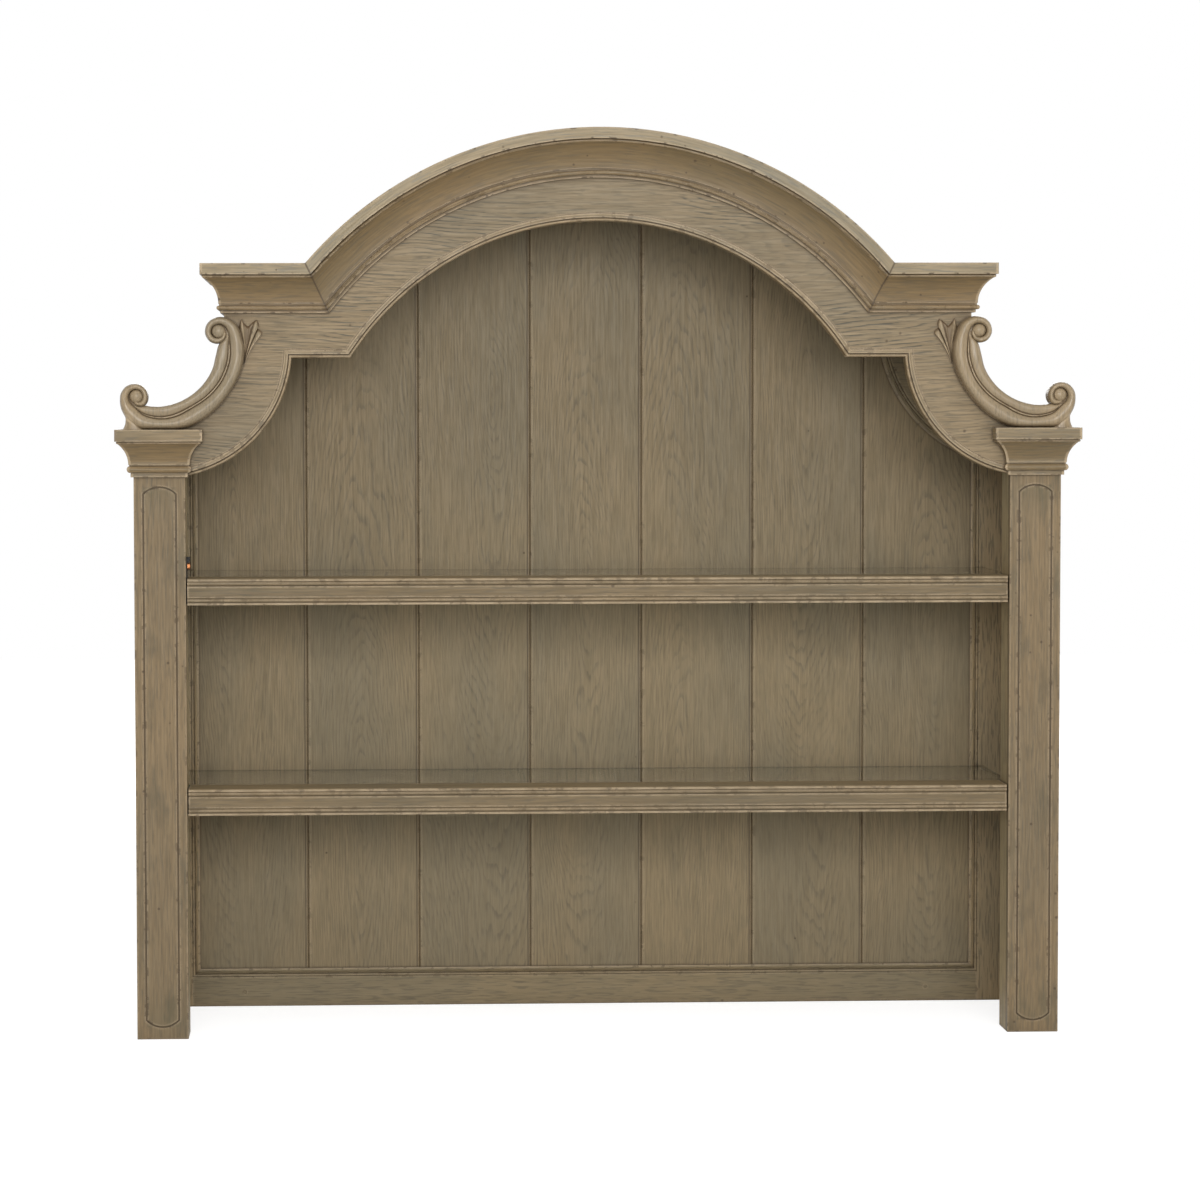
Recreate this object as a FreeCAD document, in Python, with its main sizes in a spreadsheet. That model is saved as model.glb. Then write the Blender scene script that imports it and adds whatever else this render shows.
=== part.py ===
"""Kitchen hutch with a shouldered arch top: an open shelf case that stands on a base cabinet.

Frame: +X to the viewer's right, +Y to the back, +Z up, millimetres. The origin is the middle of
the bounding box's bottom, which is the plane that the pilasters, sides and back frame stand on.
Every length is a cell of the sheet "Sizes". Places that several pieces share are worked out from
those cells once, in the variable set "Places", and each sub-part is bound to both.
"""
import FreeCAD, Part
import math
import os
import re
import Sketcher

Vector = FreeCAD.Vector

SIZES = {
    # Case
    "overall_depth": 387.0,
    "case_half_width": 770.5,
    "side_thickness": 20.0,
    "pilaster_width": 85.0,
    "pilaster_thickness": 19.0,
    "post_width": 18.0,
    "post_depth": 56.0,
    "capital_top": 1013.5,
    "frieze_thickness": 22.0,
    "frieze_setback": 5.0,
    # Field on each pilaster, outlined by a groove with arched ends
    "field_margin": 15.5,
    "field_bottom": 20.5,
    "field_drop": 16.5,
    "field_rise": 11.5,
    "groove_width": 2.8,
    "groove_depth": 2.2,
    # Shouldered arch: one centre carries the crown, the front opening and the back opening
    "arch_inset": 196.0,
    "frieze_band": 71.0,
    "shoulder_rise": 272.5,
    "shoulder_inset": 150.5,
    "front_shoulder_rise": 118.0,
    "front_curve_past": 38.1,
    "front_curve_rise": 134.7,
    "front_curve_radius": 215.0,
    # Crown moulding section
    "crown_height": 81.0,
    "crown_projection": 38.5,
    "crown_fascia": 18.5,
    "crown_lip_radius": 2.8,
    "crown_cove_radius": 49.0,
    "crown_cove_rise": 15.5,
    "crown_neck": 9.0,
    "crown_bead_radius": 3.5,
    "crown_bead_out": 9.4,
    "crown_foot": 6.0,
    "crown_foot_rise": 5.0,
    "crown_quirk": 1.0,
    # Capital moulding section
    "capital_height": 78.5,
    "capital_projection": 29.5,
    "capital_fascia": 19.5,
    "capital_lip_radius": 2.0,
    "capital_cove_radius": 44.5,
    "capital_cove_rise": 20.4,
    "capital_neck": 8.0,
    "capital_bead_radius": 5.7,
    "capital_bead_out": 6.3,
    "capital_foot": 4.5,
    "capital_foot_rise": 7.3,
    "capital_quirk": 1.2,
    # Strip that lines the edge of the front opening
    "lining_width": 12.5,
    "lining_proud": 1.5,
    "lining_bead_radius": 2.4,
    "lining_sunk": 1.8,
    "lining_quirk": 1.2,
    # Roof behind the front
    "roof_thickness": 9.0,
    "roof_cove_radius": 104.0,
    "roof_cove_rise": 138.5,
    # Carved scroll: its hollow side, its back and its two volutes
    "scroll_thickness": 24.0,
    "scroll_proud": 7.0,
    "scroll_ridge_width": 15.0,
    "scroll_hollow_shift": 9.0,
    "scroll_hollow_lift": 1.8,
    "scroll_hollow_inset": 1.5,
    "scroll_back_shift": 0.7,
    "scroll_back_drop": 0.3,
    "scroll_width": 34.7,
    "scroll_top_shift": 9.0,
    "scroll_top_lift": 26.2,
    "scroll_top_radius": 22.3,
    "scroll_foot_shift": 42.8,
    "scroll_foot_rise": 53.9,
    "scroll_foot_radius": 24.0,
    "scroll_eye_radius": 9.5,
    "scroll_rim_width": 6.0,
    "scroll_heel_shift": 18.7,
    "scroll_waist_shift": 16.2,
    "scroll_waist_rise": 21.5,
    # Leaf spray beside each scroll
    "leaf_stem_inset": 33.5,
    "leaf_stem_drop": 18.0,
    "leaf_length": 62.0,
    "leaf_thickness": 6.0,
    # Back frame, its boards and the moulding inside the frame
    "frame_thickness": 22.0,
    "board_thickness": 12.0,
    "board_inset": 7.6,
    "board_tongue": 6.0,
    "board_chamfer": 2.0,
    "board_rabbet": 9.0,
    "board_play": 0.3,
    "bottom_rail_height": 52.0,
    "back_reveal": 6.0,
    "back_arch_inset": 148.0,
    "back_shoulder_lift": 32.0,
    "back_curve_past": 73.5,
    "back_curve_lift": 47.3,
    "back_curve_radius": 239.5,
    "back_moulding_width": 13.5,
    "back_moulding_proud": 1.0,
    "back_moulding_bead": 2.5,
    "back_moulding_quirk": 1.0,
    "back_moulding_edge": 2.5,
    # Shelf rails
    "shelf_drop": 168.5,
    "shelf_spacing": 350.0,
    "rail_height": 44.0,
    "rail_depth": 90.0,
    "rail_end_gap": 2.0,
    "rail_round": 3.0,
    "rail_nose": 4.5,
    "rail_bead_radius": 3.5,
    "rail_low_bead_radius": 2.9,
    "rail_quirk": 1.5,
    "rail_step": 1.5,
    "rail_foot": 3.4,
    # Shelf glass
    "glass_thickness": 8.0,
    "glass_cover": 0.5,
    "glass_lap": 12.0,
    "glass_play": 0.3,
    "glass_back_gap": 3.0,
    # Shelf hardware
    "bracket_thickness": 2.0,
    "bracket_width": 40.0,
    "bracket_height": 30.0,
    "bracket_reach": 34.0,
    "bracket_setback": 12.0,
    "pin_radius": 3.0,
    "pin_inset": 5.5,
    "pin_reach": 32.0,
    "pin_floor": 1.0,
    "keeper_thickness": 1.6,
    "keeper_width": 16.0,
    "keeper_setback": 3.0,
    "keeper_drop": 8.5,
    "keeper_rise": 35.5,
    "keeper_hook_height": 9.0,
    "keeper_hook_reach": 6.0,
    "keeper_screw_rise": 20.0,
    "keeper_head_radius": 6.0,
    "keeper_head_height": 4.5,
    # Fixings
    "screw_head_radius": 3.6,
    "screw_head_height": 1.6,
    "screw_radius": 1.8,
    "screw_length": 14.0,
    "fixing_hole_radius": 3.0,
    "fixing_hole_inset": 91.5,
    "fixing_hole_up": 25.0,
    # Margin by which a cutting or trimming tool passes the solid that it works on
    "overrun": 30.0,
}

# Boards in the back, and how far the arch's centre lies below its springing, as a share of its radius
BOARD_COUNT = 7
ARCH_SHARE = 0.5403473

PLACES = {
    "back_face": "overall_depth / 2",
    "frieze_face": "crown_projection - overall_depth / 2",
    "frieze_rear": "frieze_face + frieze_thickness",
    "pilaster_face": "frieze_face - frieze_setback",
    "pilaster_rear": "pilaster_face + pilaster_thickness",
    "pilaster_inner": "case_half_width - pilaster_width",
    "pilaster_middle": "case_half_width - pilaster_width / 2",
    "side_inner": "case_half_width - side_thickness",
    "frame_face": "back_face - frame_thickness",
    "board_face": "back_face - board_thickness",
    "front_arch_radius": "pilaster_inner - arch_inset",
    "front_shoulder": "capital_top + front_shoulder_rise",
    "arch_centre": f"front_shoulder - front_arch_radius * {ARCH_SHARE}",
    "front_curve_out": "pilaster_inner + front_curve_past",
    "front_curve_up": "capital_top + front_curve_rise",
    "shoulder_top": "capital_top + shoulder_rise",
    "shoulder_half_width": "case_half_width - shoulder_inset",
    "crown_base_radius": "front_arch_radius + frieze_band",
    "crown_radius": "crown_base_radius + crown_height",
    "crown_bottom": "shoulder_top - crown_height",
    "crown_end": "shoulder_half_width + crown_projection",
    "crown_top": "arch_centre + crown_radius",
    "crown_mitre_top": "sqrt(crown_radius ^ 2 - (shoulder_top - arch_centre) ^ 2)",
    "crown_mitre_foot": "sqrt(crown_base_radius ^ 2 - (crown_bottom - arch_centre) ^ 2)",
    "capital_bottom": "capital_top - capital_height",
    "capital_end": "case_half_width + capital_projection",
    "roof_cove_out": "shoulder_half_width + roof_cove_radius",
    "roof_cove_up": "capital_top + roof_cove_rise",
    "roof_flat_top": "roof_cove_up - roof_cove_radius",
    "roof_flat_under": "roof_flat_top - roof_thickness",
    "roof_under": "shoulder_top - roof_thickness",
    "roof_arch_under": "crown_radius - roof_thickness",
    "roof_mitre_under": "sqrt(roof_arch_under ^ 2 - (roof_under - arch_centre) ^ 2)",
    "scroll_hollow_out": "roof_cove_out + scroll_hollow_shift",
    "scroll_hollow_up": "roof_cove_up + scroll_hollow_lift",
    "scroll_hollow_radius": "roof_cove_radius - scroll_hollow_inset",
    "scroll_back_out": "roof_cove_out - scroll_back_shift",
    "scroll_back_up": "roof_cove_up - scroll_back_drop",
    "scroll_back_radius": "scroll_hollow_radius + scroll_width",
    "scroll_top_out": "shoulder_half_width + scroll_top_shift",
    "scroll_top_up": "roof_cove_up + scroll_top_lift",
    "scroll_foot_out": "roof_cove_out + scroll_foot_shift",
    "scroll_foot_up": "capital_top + scroll_foot_rise",
    "scroll_heel_out": "scroll_foot_out + scroll_heel_shift",
    "scroll_waist_out": "scroll_foot_out + scroll_waist_shift",
    "scroll_waist_up": "capital_top + scroll_waist_rise",
    "leaf_stem_out": "shoulder_half_width - leaf_stem_inset",
    "leaf_stem_up": "roof_cove_up - leaf_stem_drop",
    "back_half_width": "pilaster_inner + back_reveal",
    "back_arch_radius": "back_half_width - back_arch_inset",
    "back_shoulder": "front_shoulder + back_shoulder_lift",
    "back_curve_out": "back_half_width + back_curve_past",
    "back_curve_up": "front_curve_up + back_curve_lift",
    "board_pitch": f"2 * (back_half_width - board_inset) / {BOARD_COUNT}",
    "fixing_hole_out": "back_half_width - fixing_hole_inset",
    "shelf_upper_top": "capital_bottom - shelf_drop",
    "shelf_lower_top": "shelf_upper_top - shelf_spacing",
    "keeper_bottom": "shelf_upper_top - keeper_drop",
    "keeper_top": "shelf_upper_top + keeper_rise",
    "keeper_screw_up": "shelf_upper_top + keeper_screw_rise",
    "rail_half_length": "pilaster_inner - rail_end_gap",
    "rail_rear": "frieze_face + rail_depth",
    "glass_front": "rail_rear - glass_lap",
    "glass_rear": "frame_face - glass_back_gap",
    "pin_out": "back_half_width + pin_inset",
    "pin_seat": "frame_thickness - board_thickness - pin_floor",
    "glass_half_width": "pin_out + pin_radius + glass_cover",
    "bracket_front": "frieze_face + bracket_setback",
    "recess_depth": "bracket_thickness + screw_head_height",
    "keeper_front": "pilaster_rear + keeper_setback",
    "field_half_width": "pilaster_width / 2 - field_margin",
    "field_radius": "(field_half_width ^ 2 + field_rise ^ 2) / (2 * field_rise)",
    "field_top": "capital_bottom - field_drop",
}

SHELVES = {"upper": "shelf_upper_top", "lower": "shelf_lower_top"}

# The angle that a moulding is turned through before it is trimmed
SWEPT_ANGLE = 200

# How far a bead's centre lies behind its flat, as a share of its half height
BEAD_SHARE = 0.3

# Corners of a small bead: how far out and up, as shares of its half height
FLAT_SHARES = ((0.0, 0.0), (0.55, 0.25), (0.8, 0.75), (0.8, 1.25), (0.55, 1.75))

# Where the scroll's foot leaves its lower volute, as shares of that volute's radius
HEEL_OUT_SHARE = 0.92
HEEL_DOWN_SHARE = 0.4

# Where a leaf's lobe is widest, as a share of its length
BELLY_SHARE = 0.6

# Tips of the leaf's lobes from its stem, and each lobe's half width, as shares of leaf_length
LEAF_SHARES = (
    (0.13, 0.93, 0.07),
    (0.03, 1.03, 0.09),
    (-0.16, 1.00, 0.09),
    (-0.31, 0.97, 0.10),
    (-0.45, 0.66, 0.10),
    (-0.36, 0.38, 0.07),
)

# Directions of a sketch's across, up and normal in each view
VIEWS = {
    "front": FreeCAD.Rotation(Vector(1, 0, 0), Vector(0, 0, 1), Vector(0, -1, 0), "XYZ"),
    "side": FreeCAD.Rotation(Vector(0, 1, 0), Vector(0, 0, 1), Vector(1, 0, 0), "XYZ"),
    "plan": FreeCAD.Rotation(),
}
DEPTH = {"front": "Placement__Base__y", "side": "Placement__Base__x", "plan": "Placement__Base__z"}
ORIGIN_PLANES = {"front": "XZ_Plane", "side": "YZ_Plane", "plan": "XY_Plane"}

doc = FreeCAD.newDocument("KitchenHutch")
sheet = doc.addObject("Spreadsheet::Sheet", "Sizes")
places = doc.addObject("App::VarSet", "Places")
reader = doc.addObject("App::VarSet", "Reader")
reader.addProperty("App::PropertyFloat", "reading", "Shared")
subparts = {}


def bound(formula):
    """The formula with each size and place written as a reference to the sheet or the set."""

    def reference(match):
        word = match.group(0)
        if word in SIZES:
            return "Sizes." + word
        return "Places." + word if word in PLACES else word

    return re.sub(r"[a-z][a-z_]*", reference, str(formula))


def value(formula):
    """The number that a formula in named sizes and places gives."""
    reader.setExpression("reading", bound(formula))
    reader.recompute()
    return float(reader.reading)


def fill_sheet():
    """One row for each size: its name, and its value under that alias."""
    for row, (alias, number) in enumerate(SIZES.items(), start=1):
        sheet.set(f"A{row}", alias)
        sheet.set(f"B{row}", str(number))
        sheet.setAlias(f"B{row}", alias)
    doc.recompute()


def fill_places():
    """One bound property for each shared place."""
    for name in PLACES:
        places.addProperty("App::PropertyFloat", name, "Shared")
    for name, formula in PLACES.items():
        places.setExpression(name, bound(formula))
    doc.recompute()


def keep(node, thing):
    """Names a finished sub-part, which is exported under that name."""
    thing.Label = node
    subparts[node] = thing
    return thing


def bind(thing, **formulas):
    """Binds properties of an object to formulas. Double underscores stand for dots."""
    for name, formula in formulas.items():
        thing.setExpression(name.replace("__", "."), bound(formula))


def both():
    """The two sides of the case: a name and the sign of its X."""
    return (("left", "-1"), ("right", "1"))


def flipped(loop, way):
    """The loop with its across places times the side's sign."""
    return [
        (f"{way} * ({c[0]})", c[1], *((f"{way} * ({c[2]})", c[3], c[4]) if len(c) > 2 else ()))
        for c in loop
    ]


def set_out(section, across, up):
    """The section's two numbers put into the templates of its places in a view."""
    return [
        (
            across.format(c[0]), up.format(c[1]),
            *((across.format(c[2]), up.format(c[3]), c[4]) if len(c) > 2 else ()),
        )
        for c in section
    ]


def draw(sketch, loop):
    """Draws a closed loop into a sketch and binds every corner and radius to its formula.

    A corner is (across, up), or (across, up, centre across, centre up, radius) where an arc
    about that centre leads on to the next corner.
    """
    spots = [Vector(value(corner[0]), value(corner[1]), 0) for corner in loop]
    ends = []
    for index, corner in enumerate(loop):
        start, end = spots[index], spots[(index + 1) % len(loop)]
        if len(corner) == 2:
            sketch.addGeometry(Part.LineSegment(start, end), False)
            ends.append((1, 2))
            continue
        centre = Vector(value(corner[2]), value(corner[3]), 0)
        circle = Part.Circle(centre, Vector(0, 0, 1), value(corner[4]))
        forward = (start - centre).cross(end - centre).z > 0
        first, last = (start, end) if forward else (end, start)
        low = math.atan2(first.y - centre.y, first.x - centre.x)
        high = math.atan2(last.y - centre.y, last.x - centre.x)
        high += 2 * math.pi if high < low else 0
        sketch.addGeometry(Part.ArcOfCircle(circle, low, high), False)
        ends.append((1, 2) if forward else (2, 1))
    for index, corner in enumerate(loop):
        later = (index + 1) % len(loop)
        here, there = ends[index]
        sketch.addConstraint(Sketcher.Constraint("Coincident", index, there, later, ends[later][0]))
        rules = [("DistanceX", corner[0], spots[index].x), ("DistanceY", corner[1], spots[index].y)]
        for kind, formula, number in rules:
            rule = sketch.addConstraint(Sketcher.Constraint(kind, -1, 1, index, here, number))
            sketch.setExpression(f"Constraints[{rule}]", bound(formula))
        if len(corner) > 2:
            rule = sketch.addConstraint(Sketcher.Constraint("Radius", index, value(corner[4])))
            sketch.setExpression(f"Constraints[{rule}]", bound(corner[4]))


def outline(name, view, loop, depth):
    """A loose sketch of a closed loop in one view, at a bound depth along that view."""
    sketch = doc.addObject("Sketcher::SketchObject", name)
    sketch.Placement = FreeCAD.Placement(Vector(), VIEWS[view])
    draw(sketch, loop)
    bind(sketch, **{DEPTH[view]: depth})
    return sketch


def prism(name, view, loop, start, length):
    """A loop extruded along its view's normal: forwards, to the right or upwards from start."""
    made = doc.addObject("Part::Extrusion", name)
    made.Base = outline(name + "_loop", view, loop, start)
    made.DirMode = "Normal"
    made.Solid = True
    bind(made, LengthFwd=length)
    return made


def ring(name, loop, across, up):
    """A section in the side view, turned both ways about an axis along Y."""
    made = doc.addObject("Part::Revolution", name)
    made.Source = outline(name + "_loop", "side", loop, across)
    made.Axis = Vector(0, -1, 0)
    made.Solid = True
    made.Symmetric = True
    made.Angle = SWEPT_ANGLE
    bind(made, Base__x=across, Base__z=up)
    return made


def board(node, view, loop, start, thickness):
    """A PartDesign body: a loop in one view, padded along the view's normal from start."""
    body = doc.addObject("PartDesign::Body", node)
    sketch = body.newObject("Sketcher::SketchObject", node + "_outline")
    wanted = ORIGIN_PLANES[view]
    plane = [item for item in body.Origin.OriginFeatures if item.Role == wanted][0]
    sketch.AttachmentSupport = [(plane, "")]
    sketch.MapMode = "FlatFace"
    draw(sketch, loop)
    pad = body.newObject("PartDesign::Pad", node + "_pad")
    pad.Profile = sketch
    bind(pad, Length=thickness)
    bind(body, **{DEPTH[view]: start})
    return body


def box(name, x, y, z, long, deep, high):
    """A block bound by its low corner and its three sides."""
    block = doc.addObject("Part::Box", name)
    bind(block, Length=long, Width=deep, Height=high)
    bind(block, Placement__Base__x=x, Placement__Base__y=y, Placement__Base__z=z)
    return block


def bar(name, x, y, z, radius, length, heading):
    """A round bar from a point, heading forwards, up or to one side."""
    turns = {
        "forwards": FreeCAD.Rotation(Vector(1, 0, 0), 90),
        "up": FreeCAD.Rotation(),
        "right": FreeCAD.Rotation(Vector(0, 1, 0), 90),
        "left": FreeCAD.Rotation(Vector(0, 1, 0), -90),
    }
    rod = doc.addObject("Part::Cylinder", name)
    rod.Placement = FreeCAD.Placement(Vector(), turns[heading])
    bind(rod, Radius=radius, Height=length)
    bind(rod, Placement__Base__x=x, Placement__Base__y=y, Placement__Base__z=z)
    return rod


def cut(name, first, *others):
    """The first solid without the others."""
    made = first
    for count, other in enumerate(others):
        step = doc.addObject("Part::Cut", f"{name}_cut_{count}")
        step.Base = made
        step.Tool = other
        made = step
    return made


def joined(kind, name, shapes):
    """A Part::MultiCommon, Part::MultiFuse or Part::Compound of several objects."""
    made = doc.addObject(kind, name)
    if kind == "Part::Compound":
        made.Links = list(shapes)
    else:
        made.Shapes = list(shapes)
    return made


def common(name, *shapes):
    """What all the solids share."""
    return joined("Part::MultiCommon", name, shapes)


def bead(out, low, radius):
    """The corner of a section that draws a bead from low up to low + 2 * radius."""
    centre = f"({out} - {radius} * {BEAD_SHARE})"
    return [(out, low, centre, f"{low} + {radius}", f"({radius} * sqrt(1 + {BEAD_SHARE} ^ 2))")]


def small_bead(out, low, radius):
    """Corners of a section that draw a bead in flats from low up to low + 2 * radius."""
    return [(f"{out} + {radius} * {forth}", f"{low} + {radius} * {up}") for forth, up in FLAT_SHARES]


def moulding_section(name):
    """Section of a crown or capital: foot, bead, quirk, cove, lip bead and fascia."""
    bead_top = f"({name}_foot_rise + 2 * {name}_bead_radius)"
    lip_foot = f"({name}_height - {name}_fascia - 2 * {name}_lip_radius)"
    lip_out = f"({name}_projection - 2 * {name}_lip_radius)"
    cove, rise = f"{name}_cove_radius", f"{name}_cove_rise"
    cove_centre = f"({name}_neck + {cove})"
    cove_end = f"({cove_centre} - sqrt({cove} ^ 2 - ({lip_foot} - {rise}) ^ 2))"
    return [
        ("0", "0"),
        (f"{name}_foot", "0"),
        (f"{name}_foot", f"{name}_foot_rise"),
        *bead(f"{name}_bead_out", f"{name}_foot_rise", f"{name}_bead_radius"),
        (f"{name}_bead_out", bead_top),
        (f"{name}_neck - {name}_quirk", bead_top),
        (f"{name}_neck - {name}_quirk", rise),
        (f"{name}_neck", rise, cove_centre, rise, cove),
        (cove_end, lip_foot),
        *bead(lip_out, lip_foot, f"{name}_lip_radius"),
        (lip_out, f"{name}_height - {name}_fascia"),
        (f"{name}_projection", f"{name}_height - {name}_fascia"),
        (f"{name}_projection", f"{name}_height"),
        ("0", f"{name}_height"),
    ]


def lining_section():
    """Section of the opening's edge strip: how proud it is, and how far into the opening."""
    base = "(lining_proud - lining_sunk)"
    sunk = "(lining_proud - lining_sunk - lining_quirk)"
    low = "(lining_width - 2 * lining_bead_radius)"
    return [
        ("-frieze_thickness", "0"),
        ("lining_proud", "0"),
        ("lining_proud", f"{low} - lining_quirk"),
        (sunk, f"{low} - lining_quirk"),
        (sunk, low),
        *small_bead(base, low, "lining_bead_radius"),
        (base, "lining_width"),
        ("-frieze_thickness", "lining_width"),
    ]


def back_moulding_section():
    """Section of the moulding inside the back frame: height off the boards, way into the opening."""
    radius = "back_moulding_bead"
    base = f"(frame_thickness - board_thickness + back_moulding_proud - {radius})"
    shelf = f"(2 * {radius} + back_moulding_quirk)"
    hollow = f"(back_moulding_width - {shelf})"
    return [
        ("0", "0"),
        *small_bead(base, "0", radius),
        (base, f"2 * {radius}"),
        (
            f"back_moulding_edge + {hollow}", shelf,
            f"back_moulding_edge + {hollow}", "back_moulding_width", hollow,
        ),
        ("back_moulding_edge", "back_moulding_width"),
        ("0", "back_moulding_width"),
    ]


def opening(which, grow):
    """Corners of the front or back opening after its edge moves outwards by a distance."""
    radius, shoulder = f"({which}_arch_radius + {grow})", f"({which}_shoulder + {grow})"
    curve = f"({which}_curve_radius - {grow})"
    out, up = f"{which}_curve_out", f"{which}_curve_up"
    half = "pilaster_inner" if which == "front" else f"(back_half_width + {grow})"
    return {
        "mitre": (f"sqrt({radius} ^ 2 - ({shoulder} - arch_centre) ^ 2)", shoulder),
        "corner": (f"({out} - sqrt({curve} ^ 2 - ({up} - {shoulder}) ^ 2))", shoulder),
        "foot": (half, f"({up} - sqrt({curve} ^ 2 - ({out} - {half}) ^ 2))"),
        "sill": (half, f"(bottom_rail_height - {grow})"),
        "arch": ("0", "arch_centre", radius),
        "curve": (out, up, curve),
    }


def opening_edge(which, grow, way):
    """Half of an opening's edge as a loop's corners: rising on the right, falling on the left."""
    at = opening(which, grow)
    curve = at["curve"]
    if way == "1":
        return [(*at["foot"], *curve), at["corner"], (*at["mitre"], *at["arch"])]
    return flipped([at["mitre"], (*at["corner"], *curve), at["foot"]], "-1")


def arch_wedge(name, inner, outer, top):
    """Keeps an arch between the mitres that run from inner to outer on both sides."""
    right = [inner, outer, (outer[0], top)]
    loop = [("0", "arch_centre"), *right, *flipped(right[::-1], "-1")]
    return prism(name, "front", loop, "back_face + overrun", "overall_depth + 2 * overrun")


def slab(name, view, loop, way):
    """A trimming prism with plenty of depth in the front or plan view."""
    if view == "plan":
        return prism(name, view, flipped(loop, way), "-overrun", "crown_top + 2 * overrun")
    return prism(name, view, flipped(loop, way), "back_face + overrun", "overall_depth + 2 * overrun")


def curve_wedge(name, inner, outer, way):
    """Keeps a curve between its corner and its foot."""
    far = (f"{inner['corner'][0]} - overrun", f"{inner['foot'][1]} - overrun")
    return slab(name, "front", [inner["corner"], outer["corner"], outer["foot"], inner["foot"], far], way)


def level(name, loop, near, far, way):
    """A section in the side view, extruded along X between two distances from the middle."""
    start = near if way == "1" else f"-({far})"
    return prism(name, "side", loop, start, f"({far}) - ({near})")


def side_panels():
    """Sides behind the pilasters, notched at the top of the front for the frieze board."""
    for side, way in both():
        x = "side_inner" if way == "1" else "-case_half_width"
        node = "side_panel_" + side
        panel = box(
            node + "_blank", x, "pilaster_rear", "0",
            "side_thickness", "back_face - pilaster_rear", "roof_flat_under",
        )
        notch = box(
            node + "_notch", f"{x} - overrun", "pilaster_rear - overrun", "capital_top",
            "side_thickness + 2 * overrun", "frieze_rear - pilaster_rear + overrun", "overrun",
        )
        keep(node, cut(node, panel, notch))


def field_loop(middle, grow):
    """Outline of a pilaster's field: straight sides and shallow arched ends."""
    half, radius = f"(field_half_width + {grow})", f"(field_radius + {grow})"
    low, high = "(field_bottom + field_radius)", "(field_top - field_radius)"
    drop = f"sqrt({radius} ^ 2 - {half} ^ 2)"
    return [
        (f"{middle} + {half}", f"{low} - {drop}"),
        (f"{middle} + {half}", f"{high} + {drop}", middle, high, radius),
        (f"{middle} - {half}", f"{high} + {drop}"),
        (f"{middle} - {half}", f"{low} - {drop}", middle, low, radius),
    ]


def pilasters():
    """Front boards, each with a field outlined by a groove, and the posts behind them."""
    for side, way in both():
        node, middle = "pilaster_" + side, f"({way} * pilaster_middle)"
        left, right = f"{middle} - pilaster_width / 2", f"{middle} + pilaster_width / 2"
        face = [(left, "0"), (right, "0"), (right, "capital_top"), (left, "capital_top")]
        blank = board(node + "_blank", "front", face, "pilaster_rear", "pilaster_thickness")
        rear, deep = "pilaster_face + groove_depth", "groove_depth + overrun"
        outer = prism(node + "_outer", "front", field_loop(middle, "groove_width / 2"), rear, deep)
        inner = prism(node + "_inner", "front", field_loop(middle, "-groove_width / 2"), rear, deep)
        keep(node, cut(node, blank, cut(node + "_groove", outer, inner)))
        x = "pilaster_inner" if way == "1" else "-pilaster_inner - post_width"
        post = box(
            f"post_{side}_blank", x, "pilaster_rear", "0", "post_width", "post_depth", "capital_top",
        )
        if way == "-1":
            pilot = bar(
                "keeper_pilot", "-pilaster_inner", "keeper_front + keeper_width / 2",
                "keeper_screw_up", "screw_radius", "screw_length", "left",
            )
            post = cut("post_left", post, pilot)
        keep("post_" + side, post)


def case_edge(way):
    """The front's outer edge: up over the capital and cove to the arch, or back down."""
    rising = [
        ("case_half_width", "capital_top"),
        ("case_half_width", "roof_flat_top"),
        ("roof_cove_out", "roof_flat_top", "roof_cove_out", "roof_cove_up", "roof_cove_radius"),
        ("shoulder_half_width", "roof_cove_up"),
        ("shoulder_half_width", "shoulder_top"),
        ("crown_mitre_top", "shoulder_top", "0", "arch_centre", "crown_radius"),
    ]
    if way == "1":
        return rising
    falling = [(c[0], c[1]) for c in rising[::-1]]
    falling[2] = (*falling[2], "-1 * roof_cove_out", "roof_cove_up", "roof_cove_radius")
    return [(f"-1 * ({c[0]})", *c[1:]) for c in falling[:2]] + [
        (f"-1 * ({falling[2][0]})", *falling[2][1:])
    ] + [(f"-1 * ({c[0]})", *c[1:]) for c in falling[3:]]


def frieze():
    """The front board with the shouldered arch opening, and the strips that line the opening."""
    loop = [
        *case_edge("1"), *case_edge("-1"),
        ("-pilaster_inner", "capital_top"),
        *flipped([(*opening("front", "lining_width")["foot"],)], "-1"),
    ]
    at = opening("front", "lining_width")
    loop[-1] = (f"-1 * ({at['foot'][0]})", at["foot"][1], "-1 * front_curve_out", *at["curve"][1:])
    loop.append((f"-1 * {at['corner'][0]}", at["corner"][1]))
    loop.append((f"-1 * {at['mitre'][0]}", at["mitre"][1], *at["arch"]))
    loop.append(at["mitre"])
    loop.append((*at["corner"], *at["curve"]))
    loop.append(at["foot"])
    loop.append(("pilaster_inner", "capital_top"))
    keep("frieze_board", board("frieze_board", "front", loop, "frieze_rear", "frieze_thickness"))
    line_opening("front", "opening_bead", lining_section(), "frieze_face - ({})", "lining_width", "0")


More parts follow.
